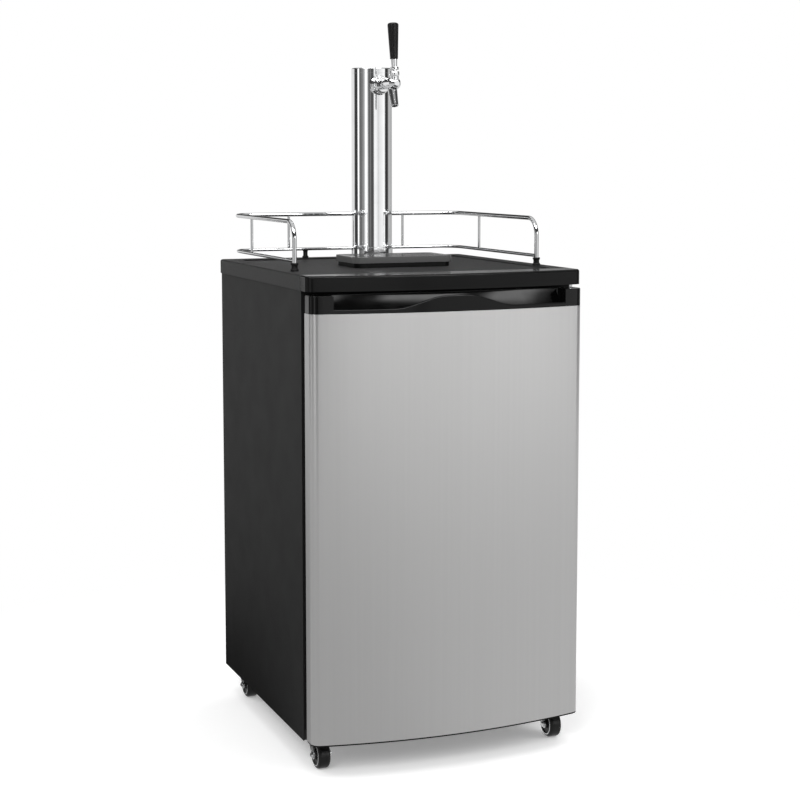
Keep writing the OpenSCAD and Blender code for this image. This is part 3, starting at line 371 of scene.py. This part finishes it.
class EdgeGraph(NodeGraph):
    """A geometry node group that a mesh flows through."""

    def __init__(self, name):
        super().__init__(bpy.data.node_groups.new(name, "GeometryNodeTree"))
        for side in ("INPUT", "OUTPUT"):
            self.tree.interface.new_socket("Geometry", in_out=side, socket_type="NodeSocketGeometry")
        self.flow = self.add("NodeGroupInput").outputs[0]
        edge = self.add("GeometryNodeInputMeshEdgeAngle")
        self.angle = edge.outputs["Unsigned Angle"]
        self.signed = edge.outputs["Signed Angle"]
        self.place = self.add("GeometryNodeInputPosition").outputs["Position"]

    def over(self, value, limit):
        """Whether a value is greater than a limit."""
        node = self.add("FunctionNodeCompare", data_type="FLOAT", operation="GREATER_THAN")
        node.inputs["B"].default_value = limit
        self.link(value, node.inputs["A"])
        return node.outputs["Result"]

    def through(self, node, socket):
        """Send the geometry through a node."""
        self.link(self.flow, node.inputs[socket])
        self.flow = node.outputs[socket]
        return node

    def weld(self):
        """Join corners that lie on each other."""
        node = self.through(self.add("GeometryNodeMergeByDistance"), "Geometry")
        node.inputs["Distance"].default_value = WELD

    def shade(self):
        """Shade the faces smooth, apart from sharp edges."""
        node = self.through(self.add("GeometryNodeSetMeshNormal", mode="SHARPNESS"), "Mesh")
        self.link(self.over(self.angle, SHARP), node.inputs["Edge Sharpness"])

    def switch(self, test, yes, no):
        """One of two values, each a number or a socket."""
        node = self.add("GeometryNodeSwitch", input_type="FLOAT")
        self.link(test, node.inputs["Switch"])
        self.feed(yes, node.inputs["True"])
        self.feed(no, node.inputs["False"])
        return node.outputs["Output"]

    def inside(self, low, high):
        """Whether an edge's middle lies in a box."""
        away = self.add("ShaderNodeVectorMath", operation="SUBTRACT")
        self.link(self.place, away.inputs[0])
        away.inputs[1].default_value = (low + high) / 2
        size = self.add("ShaderNodeVectorMath", operation="ABSOLUTE")
        self.link(away.outputs["Vector"], size.inputs[0])
        test = self.add("FunctionNodeCompare", data_type="VECTOR", mode="ELEMENT", operation="LESS_THAN")
        first, second = [socket for socket in test.inputs if socket.type == "VECTOR"][:2]
        self.link(size.outputs["Vector"], first)
        second.default_value = (high - low) / 2
        return test.outputs["Result"]

    def weigh(self, node, plain, zones, width):
        """Bevel weights of a node's sharp edges, for the roundings of a bevel of the given width."""
        weight = plain / width
        for zone in zones:
            either = self.switch(self.over(self.signed, 0.0), zone.outer / width, zone.hollow / width)
            weight = self.switch(self.inside(*zone_box(node, zone)), either, weight)
        weight = self.switch(self.over(self.angle, SHARP), weight, 0.0)
        store = self.through(
            self.add("GeometryNodeStoreNamedAttribute", data_type="FLOAT", domain="EDGE"), "Geometry")
        store.inputs["Name"].default_value = "bevel_weight_edge"
        self.link(weight, store.inputs["Value"])

    def done(self):
        self.link(self.flow, self.add("NodeGroupOutput").inputs[0])
        return self.tree


def joined_corners():
    graph = EdgeGraph("joined_corners")
    graph.weld()
    graph.shade()
    return graph.done()


def smooth_edges():
    graph = EdgeGraph("smooth_edges")
    graph.shade()
    return graph.done()


def corner_weights(node, plain, zones, width):
    graph = EdgeGraph("corner_weights")
    graph.weigh(node, plain, zones, width)
    return graph.done()


joined = joined_corners()
smoothed = smooth_edges()


def ease(node, plain, zones):
    """Round a node's corners, by widths in millimetres, and shade its curves smooth, with modifiers only."""
    modifiers = nodes[node].modifiers
    modifiers.new("joined", "NODES").node_group = joined
    if not plain:
        return
    width = max([plain] + [max(zone.outer, zone.hollow) for zone in zones])
    flat = modifiers.new("flat", "DECIMATE")
    flat.decimate_type = "DISSOLVE"
    flat.angle_limit = FLAT
    modifiers.new("weights", "NODES").node_group = corner_weights(node, plain, zones, width)
    bevel = modifiers.new("edges", "BEVEL")
    bevel.width = width * MM
    bevel.segments = ZONE_STEPS if zones else PLAIN_STEPS
    bevel.limit_method = "WEIGHT"
    bevel.miter_outer = "MITER_ARC"
    bevel.use_clamp_overlap = False
    modifiers.new("smoothed", "NODES").node_group = smoothed
    modifiers.new("weighted", "WEIGHTED_NORMAL").keep_sharp = True


# Rounding of corners in millimetres; the nodes left out keep their plain edges
edge_width = {
    "worktop": 0.8, "worktop_fascia": 0.4, "door_top_trim": 0.25, "door_bottom_trim": 0.4, "door_skin": 0.25,
    "tap_handle": 0.3, "drip_tray": 0.9, "cabinet_shell": 0.5, "rear_panel": 0.4, "tower_cap": 0.4,
    "tower_flange": 0.4, "shank_collar": 0.3, "coupling_nut": 0.3, "thermostat_housing": 1.2,
    "thermostat_knob": 0.3, "keg_floor_plate": 0.4, "compressor": 0.6, "relay_cover": 1.5, "drain_pan": 0.5,
    "cord_gland": 0.4, "gas_bush": 0.5, "bay_panel": 0.3, "base_pan": 0.3, "top_hinge": 0.4,
    "bottom_hinge": 0.4, "caster_plates": 0.4, "rail_feet": 0.4, "evaporator_plate": 0.4, "door_liner": 1.0,
    "door_gasket": 0.4, "lever_bonnet": 0.25, "lever_ferrule": 0.3, "faucet_cap": 0.3, "faucet_body": 0.3,
    "tower_screws": 0.3, "shank_nut": 0.4, "tailpiece": 0.3, "compressor_mounts": 0.4, "door_bushings": 0.3,
    "inner_liner": 0.6,
}
for corner in CORNERS:
    edge_width["caster_wheel_" + corner] = 0.4
# Lip and back of the grip pocket, cabin and its step, panel of the door
edge_zones = {
    "door_top_trim": (
        Zone(side=38.5, front=-1.5, back=21.5, bottom=18, top=1.5, outer=2.0, hollow=0.25),
        Zone(side=36.5, front=43.5, back=8.5, bottom=14.5, top=4, outer=0.25, hollow=9.0)),
    "inner_liner": (
        Zone(side=9, front=18.5, back=1, bottom=35, top=9, outer=0.6, hollow=14.0),
        Zone(side=9, front=278.5, back=140, bottom=245, top=461.5, outer=4.0, hollow=14.0)),
    "door_liner": (
        Zone(side=50.5, front=4.5, back=-6.5, bottom=45, top=44, outer=6.0, hollow=1.0),),
}
for node in nodes:
    ease(node, edge_width.get(node, 0), edge_zones.get(node, ()))


# Small fasteners and marks, with sizes in millimetres

# Outline of a button head with its socket, in shares of the head's radius and height
HEAD = ((1, 0), (1, 0.4), (0.88, 0.78), (0.62, 1), (0.5, 1), (0.44, 0.3), (0.05, 0.2), (0.05, 0))
HEAD_SIDES = 24


def ring_of(work, radius, place, turn, sides):
    """Corners of a circle round a place, at right angles to the turned Z axis."""
    corners = []
    for k in range(sides):
        angle = 2 * math.pi * k / sides
        spot = turn @ Vector((radius * math.cos(angle), radius * math.sin(angle), 0))
        corners.append(work.verts.new(place + spot))
    return corners


def lathe(work, profile, place, axis, sides):
    """Turn a closed outline of (radius, height) points about an axis through a place."""
    axis = Vector(axis)
    turn = Vector((0, 0, 1)).rotation_difference(axis).to_matrix()
    rings = [ring_of(work, r * MM, Vector(place) + axis * h * MM, turn, sides) for r, h in profile]
    for low, high in zip(rings, rings[1:] + rings[:1]):
        for k in range(sides):
            j = (k + 1) % sides
            work.faces.new((low[k], low[j], high[j], high[k]))


def prism(work, outline, low, high, place, axis_x, axis_y):
    """Extrude an outline from low to high across its plane."""
    u, v = Vector(axis_x), Vector(axis_y)
    out = u.cross(v)
    ends = []
    for height in (low, high):
        ends.append([work.verts.new(Vector(place) + (u * x + v * y + out * height) * MM) for x, y in outline])
    work.faces.new(ends[0][::-1])
    work.faces.new(ends[1])
    for k in range(len(outline)):
        j = (k + 1) % len(outline)
        work.faces.new((ends[0][k], ends[0][j], ends[1][j], ends[1][k]))


def add_piece(name, work, body, slot):
    """Object of a finished bmesh, riding on a body with a slot's finish."""
    bmesh.ops.recalc_face_normals(work, faces=work.faces[:])
    mesh = bpy.data.meshes.new(name)
    work.to_mesh(mesh)
    work.free()
    mesh.materials.append(surfaces[slot])
    piece = bpy.data.objects.new(name, mesh)
    scene.collection.objects.link(piece)
    piece.modifiers.new("smoothed", "NODES").node_group = smoothed
    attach(piece, body)


def screws(name, places, axis, radius, height):
    """Button-head screws with a socket, fixed to the cabinet."""
    work = bmesh.new()
    head = [(r * radius, h * height) for r, h in HEAD]
    for place in places:
        lathe(work, head, place, axis, HEAD_SIDES)
    add_piece(name, work, "cabinet", "zinc")


def inset(low, high, margin):
    """Two places, a margin in from each end."""
    return low + margin * MM, high - margin * MM


# Margins of the rear panel's screws
REAR_SIDE = 9
REAR_END = 14


def rear_panel_screws():
    low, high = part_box("rear_panel")
    bottom, top = inset(low.z, high.z, REAR_END)
    heights = (bottom, (low.z + high.z) / 2, top)
    places = [(x, high.y, z) for x in inset(low.x, high.x, REAR_SIDE) for z in heights]
    screws("rear_panel_screws", places, (0, 1, 0), radius=4.0, height=2.2)


# Face of the evaporator plate before the liner's wall, and the margin of its screws
EVAPORATOR_OUT = 10
EVAPORATOR_MARGIN = 12


def evaporator_screws():
    low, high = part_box("evaporator_plate")
    face = high.y - EVAPORATOR_OUT * MM
    across = inset(low.x, high.x, EVAPORATOR_MARGIN)
    heights = inset(low.z, high.z, EVAPORATOR_MARGIN)
    places = [(x, face, z) for x in across for z in heights]
    screws("evaporator_screws", places, (0, -1, 0), radius=3.6, height=2.0)


# Thickness of the bottom hinge's plate, and its screws' places from its left end and its top
HINGE_T = 3
HINGE_SCREWS = (5.5, 14)
HINGE_DOWN = 7


def bottom_hinge_screws():
    low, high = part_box("bottom_hinge")
    face, height = high.y - HINGE_T * MM, high.z - HINGE_DOWN * MM
    places = [(low.x + x * MM, face, height) for x in HINGE_SCREWS]
    screws("bottom_hinge_screws", places, (0, -1, 0), radius=3.2, height=1.8)


# Half width and thickness of the caster plates, and their screws' distance from the middle
PLATE_HALF = 20
PLATE_T = 3
PLATE_SCREWS = 14


def caster_plate_screws():
    low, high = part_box("caster_plates")
    face = high.z - PLATE_T * MM
    sides = (-PLATE_SCREWS * MM, PLATE_SCREWS * MM)
    places = [
        (x + a, y + b, face)
        for x in inset(low.x, high.x, PLATE_HALF) for y in inset(low.y, high.y, PLATE_HALF)
        for a in sides for b in sides]
    screws("caster_plate_screws", places, (0, 0, -1), radius=2.6, height=1.6)


rear_panel_screws()
evaporator_screws()
bottom_hinge_screws()
caster_plate_screws()


# Thermostat: two screws and a scale on its housing, a pointer on its knob

# How far the spindle stands out of the housing's face, and the screws' distance from it
SPINDLE_OUT = 8
DIAL_SCREWS = 46
KNOB_R = 19
SCALE_MARKS = 7
SCALE_TURN = math.radians(270)
# Outline of one mark, from the knob's edge outwards
MARK = ((-0.5, 2.5), (0.5, 2.5), (0.8, 6.5), (-0.8, 6.5))
# Size of the numbers, and their distance from the knob's edge
NUMBER_SIZE = 6
NUMBER_OUT = 11
# Outline of the pointer, and its distance from the knob's middle
POINTER = ((-1, 0), (1, 0), (1, 6), (0, 7.5), (-1, 6))
POINTER_OUT = 5
# Depth of the marks in the face, and their height above it
SUNK = 0.1
PROUD = 0.3
# Directions to the right and up, as the cabin's middle sees the dial
DIAL_RIGHT = Vector((0, -1, 0))
DIAL_UP = Vector((0, 0, 1))


def dial_middle():
    """Middle of the housing's face, where the knob turns."""
    low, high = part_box("thermostat_housing")
    return Vector((low.x + SPINDLE_OUT * MM, (low.y + high.y) / 2, (low.z + high.z) / 2))


def add_number(work, number, place):
    """Raised number on the dial, centred at a place."""
    letter = bpy.data.curves.new("number", "FONT")
    letter.body = str(number)
    letter.size = NUMBER_SIZE * MM
    letter.extrude = PROUD * MM
    letter.align_x = "CENTER"
    letter.align_y = "CENTER"
    shape = bpy.data.objects.new("number", letter)
    flat = shape.to_mesh()
    turn = Matrix((DIAL_RIGHT, DIAL_UP, DIAL_RIGHT.cross(DIAL_UP))).transposed()
    flat.transform(Matrix.Translation(place) @ turn.to_4x4())
    work.from_mesh(flat)
    shape.to_mesh_clear()
    bpy.data.objects.remove(shape)
    bpy.data.curves.remove(letter)


def thermostat_scale(dial):
    """Raised marks and plain numbers round the knob."""
    work = bmesh.new()
    outline = [(x, KNOB_R + y) for x, y in MARK]
    for k in range(SCALE_MARKS):
        angle = SCALE_TURN * (0.5 - k / (SCALE_MARKS - 1))
        out = DIAL_UP * math.cos(angle) - DIAL_RIGHT * math.sin(angle)
        across = out.cross(DIAL_RIGHT.cross(DIAL_UP))
        prism(work, outline, -SUNK, PROUD, dial, across, out)
        add_number(work, k + 1, dial + out * (KNOB_R + NUMBER_OUT) * MM)
    add_piece("thermostat_scale", work, "cabinet", "black_plastic")


def knob_pointer(dial):
    work = bmesh.new()
    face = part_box("thermostat_knob")[0].x
    place = (face, dial.y, dial.z + POINTER_OUT * MM)
    prism(work, POINTER, -SUNK, PROUD, place, DIAL_RIGHT, DIAL_UP)
    add_piece("knob_pointer", work, "knob", "white_plastic")


thermostat = dial_middle()
dial_screws = [thermostat + DIAL_UP * z * MM for z in (-DIAL_SCREWS, DIAL_SCREWS)]
screws("thermostat_screws", dial_screws, (-1, 0, 0), radius=3.0, height=1.8)
thermostat_scale(thermostat)
knob_pointer(thermostat)


# Leaning back wall of the grip pocket in the door's top trim

# Its place, in from the trim's ends, back, bottom and top
POCKET_END = 38
POCKET_WEB = 9.55
POCKET_FLOOR = 15.6
POCKET_TOP = 1.2
# Its thickness at the top of both ends, its gain in the middle and at the bottom, and how hollow it leans
POCKET_SKIN = 0.3
POCKET_BOW = 6
POCKET_LEAN = 6
POCKET_HOLLOW = 1.1


def pocket_wall(columns, rows):
    low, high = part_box("door_top_trim")
    half = high.x - POCKET_END * MM
    rear = high.y - POCKET_WEB * MM
    bottom, top = low.z + POCKET_FLOOR * MM, high.z - POCKET_TOP * MM
    work = bmesh.new()
    front, back = [], []
    for i in range(columns + 1):
        across = 2 * i / columns - 1
        front.append([])
        back.append([])
        for j in range(rows + 1):
            up = j / rows
            out = POCKET_SKIN + POCKET_BOW * (1 - across ** 2) + POCKET_LEAN * (1 - up) ** POCKET_HOLLOW
            x, z = half * across, bottom + (top - bottom) * up
            front[i].append(work.verts.new((x, rear - out * MM, z)))
            back[i].append(work.verts.new((x, rear, z)))
    for grid in (front, back):
        for a, b in zip(grid, grid[1:]):
            for j in range(rows):
                work.faces.new((a[j], b[j], b[j + 1], a[j + 1]))
    for i in (0, columns):
        for j in range(rows):
            work.faces.new((front[i][j], front[i][j + 1], back[i][j + 1], back[i][j]))
    for j in (0, rows):
        for i in range(columns):
            work.faces.new((front[i][j], front[i + 1][j], back[i + 1][j], back[i][j]))
    add_piece("grip_pocket_wall", work, "door", "gloss_black")


pocket_wall(columns=48, rows=8)


# Bright rings on both faces of the wheels

RING = ((18.1, -0.3), (18.1, 0.25), (18.5, 0.5), (19.4, 0.5), (19.8, 0.25), (19.8, -0.3))
RING_SIDES = 64


def wheel_rings(corner):
    low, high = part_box("caster_wheel_" + corner)
    y, z = (low.y + high.y) / 2, (low.z + high.z) / 2
    work = bmesh.new()
    for x, side in ((low.x, -1), (high.x, 1)):
        lathe(work, RING, (x, y, z), (side, 0, 0), RING_SIDES)
    add_piece("wheel_rings_" + corner, work, "wheel_" + corner, "zinc")


for corner in CORNERS:
    wheel_rings(corner)


# Camera at the photograph's viewing angle: place in metres, angles in radians, lens and sensor in millimetres

CAMERA_AT = (-1.1461, -2.9083, 1.0475)
CAMERA_YAW = 0.3781
CAMERA_PITCH = 0.1032
CAMERA_LENS = 76.3
CAMERA_SENSOR = 36
CAMERA_SHIFT = -0.08
# Level directions to the camera and to its right
TO_CAMERA = (-math.sin(CAMERA_YAW), -math.cos(CAMERA_YAW), 0)
TO_RIGHT = (math.cos(CAMERA_YAW), -math.sin(CAMERA_YAW), 0)


def build_camera():
    data = bpy.data.cameras.new("camera")
    data.lens = CAMERA_LENS
    data.sensor_width = CAMERA_SENSOR
    data.sensor_fit = "HORIZONTAL"
    data.shift_y = CAMERA_SHIFT
    camera = bpy.data.objects.new("camera", data)
    camera.location = CAMERA_AT
    camera.rotation_euler = (math.pi / 2 - CAMERA_PITCH, 0, -CAMERA_YAW)
    scene.collection.objects.link(camera)
    scene.camera = camera


build_camera()
scene.view_settings.view_transform = "Standard"


# Studio

WHITE = (1, 1, 1, 1)
# Brightness of the light that matt surfaces get from all round
SOFT_LIGHT = 0.45
# Brightness of the softboxes and flags that metal mirrors, by bearing in degrees from the camera's side
STUDIO_BANDS = (
    (-180, 0.6), (-150, 0.95), (-120, 0.95), (-113, 0.06), (-90, 0.05), (-86, 0.95), (-84, 2.0), (-80, 2.0),
    (-77, 0.95), (-73, 0.22), (-60, 0.15), (-56, 0.4), (-51, 0.2), (-36, 1.0), (-33, 2.0),
    (-29, 2.0), (-24, 1.0), (-18, 0.2), (-10, 0.12), (-6, 0.3), (-2, 0.1), (10, 0.1), (16, 1.3), (35, 1.1),
    (37, 0.5), (39, 0.98), (72, 1.25), (80, 1.4), (85, 0.05), (104, 0.05), (116, 0.65), (170, 0.4))
# Heights here are sines of the angle above level; each pair of limits is where a change starts and ends
# Dark gap above the softboxes, and the pale ceiling above the gap
DARK_GAP = 0.06
GAP_LIMITS = (0.16, 0.22)
CEILING = 0.9
CEILING_LIMITS = (0.5, 0.7)
# Strip lamp high on the camera's side: brightness, how it fades in towards that side, lower and upper edge
STRIP = 20.0
STRIP_FACING = (0.15, 0.4)
STRIP_EDGES = ((0.66, 0.68), (0.8, 0.78))
# Narrow panels low on the camera's right: brightness, lower and upper edge, places by the same bearing
PANELS = 9.0
PANEL_EDGES = ((0.17, 0.19), (0.36, 0.33))
PANEL_PLACES = (
    (30, 0), (31, 1), (35.5, 1), (36, 0), (39.4, 0), (40, 1), (46.8, 1), (47.4, 0), (49.6, 0), (50.2, 1),
    (54, 1), (55, 0))


class StudioGraph(NodeGraph):
    """Shader nodes of the world or the floor, which tell kinds of rays apart."""

    def __init__(self, owner):
        owner.use_nodes = True
        super().__init__(owner.node_tree)
        self.tree.nodes.clear()
        self.ray = self.add("ShaderNodeLightPath").outputs

    def calculate(self, operation, first, second):
        """Result of two values, each a number or a socket."""
        node = self.add("ShaderNodeMath", operation=operation)
        self.feed(first, node.inputs[0])
        self.feed(second, node.inputs[1])
        return node.outputs["Value"]

    def product(self, first, second):
        return self.calculate("MULTIPLY", first, second)

    def vector(self, operation, place):
        """Outputs of an operation on one vector."""
        node = self.add("ShaderNodeVectorMath", operation=operation)
        self.link(place, node.inputs[0])
        return node.outputs

    def dot(self, place, axis):
        """Length of a vector along an axis."""
        node = self.add("ShaderNodeVectorMath", operation="DOT_PRODUCT")
        self.link(place, node.inputs[0])
        node.inputs[1].default_value = axis
        return node.outputs["Value"]

    def ramp(self, value, limits, low=0.0, high=1.0):
        """Smooth change from low to high between two limits."""
        return self.rescale(value, *limits, low, high, kind="SMOOTHSTEP")

    def band(self, value, edges):
        """Share that is 1 between two soft edges."""
        rise, fall = edges
        return self.product(self.ramp(value, rise), self.ramp(value, fall))

    def by_bearing(self, turn, table):
        """Grey from a table of bearings in degrees and levels, where turn goes from 0 to 1 all round."""
        node = self.add("ShaderNodeValToRGB")
        stops = node.color_ramp.elements
        for k, (degrees, level) in enumerate(table):
            place = degrees / 360 + 0.5
            stop = stops[k] if k < 2 else stops.new(place)
            stop.position = place
            stop.color = even(level)
        self.link(turn, node.inputs["Fac"])
        return node.outputs["Color"]

    def background(self, color, strength):
        node = self.add("ShaderNodeBackground")
        self.feed(color, node.inputs["Color"])
        node.inputs["Strength"].default_value = strength
        return node.outputs["Background"]

    def emission(self, strength):
        """White light of a strength that is a number or a socket."""
        node = self.add("ShaderNodeEmission")
        self.feed(strength, node.inputs["Strength"])
        return node.outputs["Emission"]

    def choose(self, share, first, second):
        """First shader turned into the second by a share."""
        node = self.add("ShaderNodeMixShader")
        self.link(share, node.inputs["Fac"])
        self.link(first, node.inputs[1])
        self.link(second, node.inputs[2])
        return node.outputs["Shader"]


def mirrored_studio(graph):
    """Colour of the studio as glossy surfaces mirror it."""
    direction = graph.add("ShaderNodeTexCoord").outputs["Generated"]
    height = graph.dot(direction, (0, 0, 1))
    facing = graph.dot(direction, TO_CAMERA)
    bearing = graph.calculate("ARCTAN2", graph.dot(direction, TO_RIGHT), facing)
    turn = graph.rescale(bearing, -math.pi, math.pi)
    color = graph.by_bearing(turn, STUDIO_BANDS)
    color = graph.mix_colors(graph.ramp(height, GAP_LIMITS), color, even(DARK_GAP))
    color = graph.mix_colors(graph.ramp(height, CEILING_LIMITS), color, even(CEILING))
    strip = graph.product(graph.ramp(facing, STRIP_FACING), graph.band(height, STRIP_EDGES))
    color = graph.mix_colors(strip, color, even(STRIP))
    panels = graph.product(graph.by_bearing(turn, PANEL_PLACES), graph.band(height, PANEL_EDGES))
    return graph.mix_colors(panels, color, even(PANELS))


def build_world():
    """Soft light for matt surfaces, the studio for glossy ones, plain white to the camera."""
    world = bpy.data.worlds.new("studio")
    scene.world = world
    graph = StudioGraph(world)
    soft = graph.background(WHITE, SOFT_LIGHT)
    mirrored = graph.background(mirrored_studio(graph), 1.0)
    seen = graph.background(WHITE, 1.0)
    shiny = graph.calculate("MAXIMUM", graph.ray["Is Glossy Ray"], graph.ray["Is Transmission Ray"])
    light = graph.choose(shiny, soft, mirrored)
    both = graph.choose(graph.ray["Is Camera Ray"], light, seen)
    graph.link(both, graph.add("ShaderNodeOutputWorld").inputs["Surface"])


build_world()


# Lamps: name, place and size in metres, power in watts
LAMPS = (
    ("key", (-2.0, -2.6, 2.4), 1.8, 58),
    ("fill", (2.4, -2.2, 1.8), 1.8, 34),
    ("back_left", (-2.2, 2.4, 2.2), 1.8, 26),
    ("back_right", (2.2, 2.4, 2.2), 1.8, 26),
    ("ceiling", (0, 0, 3.4), 2.6, 38),
)
# Point that all lamps look at
LAMP_AIM = Vector((0, 0, 0.6))


def area_lamp(name, place, size, power):
    data = bpy.data.lights.new(name, "AREA")
    data.shape = "SQUARE"
    data.size = size
    data.energy = power
    lamp = bpy.data.objects.new(name, data)
    lamp.location = place
    lamp.rotation_euler = (LAMP_AIM - Vector(place)).to_track_quat("-Z", "Y").to_euler()
    lamp.visible_glossy = False
    scene.collection.objects.link(lamp)


for name, place, size, power in LAMPS:
    area_lamp(name, place, size, power)


FLOOR_RADIUS = 5.0
FLOOR_SIDES = 96
FLOOR_TONE = 250
# Brightness of the floor as metal mirrors it, a glow of its own: lower beside the object as painted shade,
# gain far off, gain to the camera's right, both gains painted light
FLOOR_SHADED_NEAR = 0.58
FLOOR_FAR_GAIN = 0.2
FLOOR_FAR_LIMITS = (1.5, 5.0)
FLOOR_RIGHT_PAINTED_LIGHT = 0.17
# Light added to the floor where the camera sees it, and the distances over which it turns plain white
FLOOR_LIFT = 0.25
FLOOR_WHITE_LIMITS = (0.45, 1.2)


def mirrored_floor(graph, place, distance):
    """Brightness of the floor as glossy surfaces mirror it, with painted shade beside the object and painted
    light far off and to the camera's right.
    """
    right = graph.dot(graph.vector("NORMALIZE", place)["Vector"], TO_RIGHT)
    # The lower level beside the object is painted shade; the gains far off and to the right are painted light
    level = graph.ramp(distance, FLOOR_FAR_LIMITS, FLOOR_SHADED_NEAR, FLOOR_SHADED_NEAR + FLOOR_FAR_GAIN)
    return graph.calculate("ADD", level, graph.ramp(right, (0.0, 1.0), 0.0, FLOOR_RIGHT_PAINTED_LIGHT))


def floor_material():
    """Pale floor with the object's shadow, plain white to the camera further off."""
    material = bpy.data.materials.new("floor")
    graph = StudioGraph(material)
    seen = graph.ray["Is Camera Ray"]
    place = graph.add("ShaderNodeTexCoord").outputs["Object"]
    distance = graph.vector("LENGTH", place)["Value"]
    matt = graph.add("ShaderNodeBsdfDiffuse")
    matt.inputs["Color"].default_value = tone(FLOOR_TONE)
    lit = graph.add("ShaderNodeAddShader")
    graph.link(matt.outputs["BSDF"], lit.inputs[0])
    graph.link(graph.emission(graph.product(seen, FLOOR_LIFT)), lit.inputs[1])
    far = graph.product(seen, graph.ramp(distance, FLOOR_WHITE_LIMITS))
    plain = graph.choose(far, lit.outputs["Shader"], graph.emission(1.0))
    mirrored = graph.emission(mirrored_floor(graph, place, distance))
    both = graph.choose(graph.ray["Is Glossy Ray"], plain, mirrored)
    graph.link(both, graph.add("ShaderNodeOutputMaterial").inputs["Surface"])
    return material


def build_floor():
    mesh = bpy.data.meshes.new("floor")
    work = bmesh.new()
    bmesh.ops.create_circle(work, cap_ends=True, radius=FLOOR_RADIUS, segments=FLOOR_SIDES)
    work.to_mesh(mesh)
    work.free()
    mesh.materials.append(floor_material())
    floor = bpy.data.objects.new("floor", mesh)
    scene.collection.objects.link(floor)


build_floor()


# Black cards behind the object's left and on the floor there: name, corner and two sides in metres
FLAGS = (
    ("flag_left", (-0.95, 1.9, 0.0), (0.0, 1.0, 0.0), (0.0, 0.0, 0.86)),
    ("flag_low", (-0.26, -0.2, 0.002), (0.0, 0.8, 0.0), (-0.7, 2.12, 0.0)),
)
FLAG_TONE = 8


def flag(name, corner, along, up):
    """Black card, seen only in reflections."""
    mesh = bpy.data.meshes.new(name)
    a, b, c = Vector(corner), Vector(along), Vector(up)
    mesh.from_pydata([a, a + b, a + b + c, a + c], [], [(0, 1, 2, 3)])
    material = bpy.data.materials.new(name)
    material.use_nodes = True
    shader = material.node_tree.nodes["Principled BSDF"]
    shader.inputs["Base Color"].default_value = tone(FLAG_TONE)
    shader.inputs["Roughness"].default_value = 1.0
    shader.inputs["Specular IOR Level"].default_value = 0.0
    mesh.materials.append(material)
    card = bpy.data.objects.new(name, mesh)
    card.visible_camera = False
    card.visible_diffuse = False
    card.visible_shadow = False
    scene.collection.objects.link(card)


for name, corner, along, up in FLAGS:
    flag(name, corner, along, up)
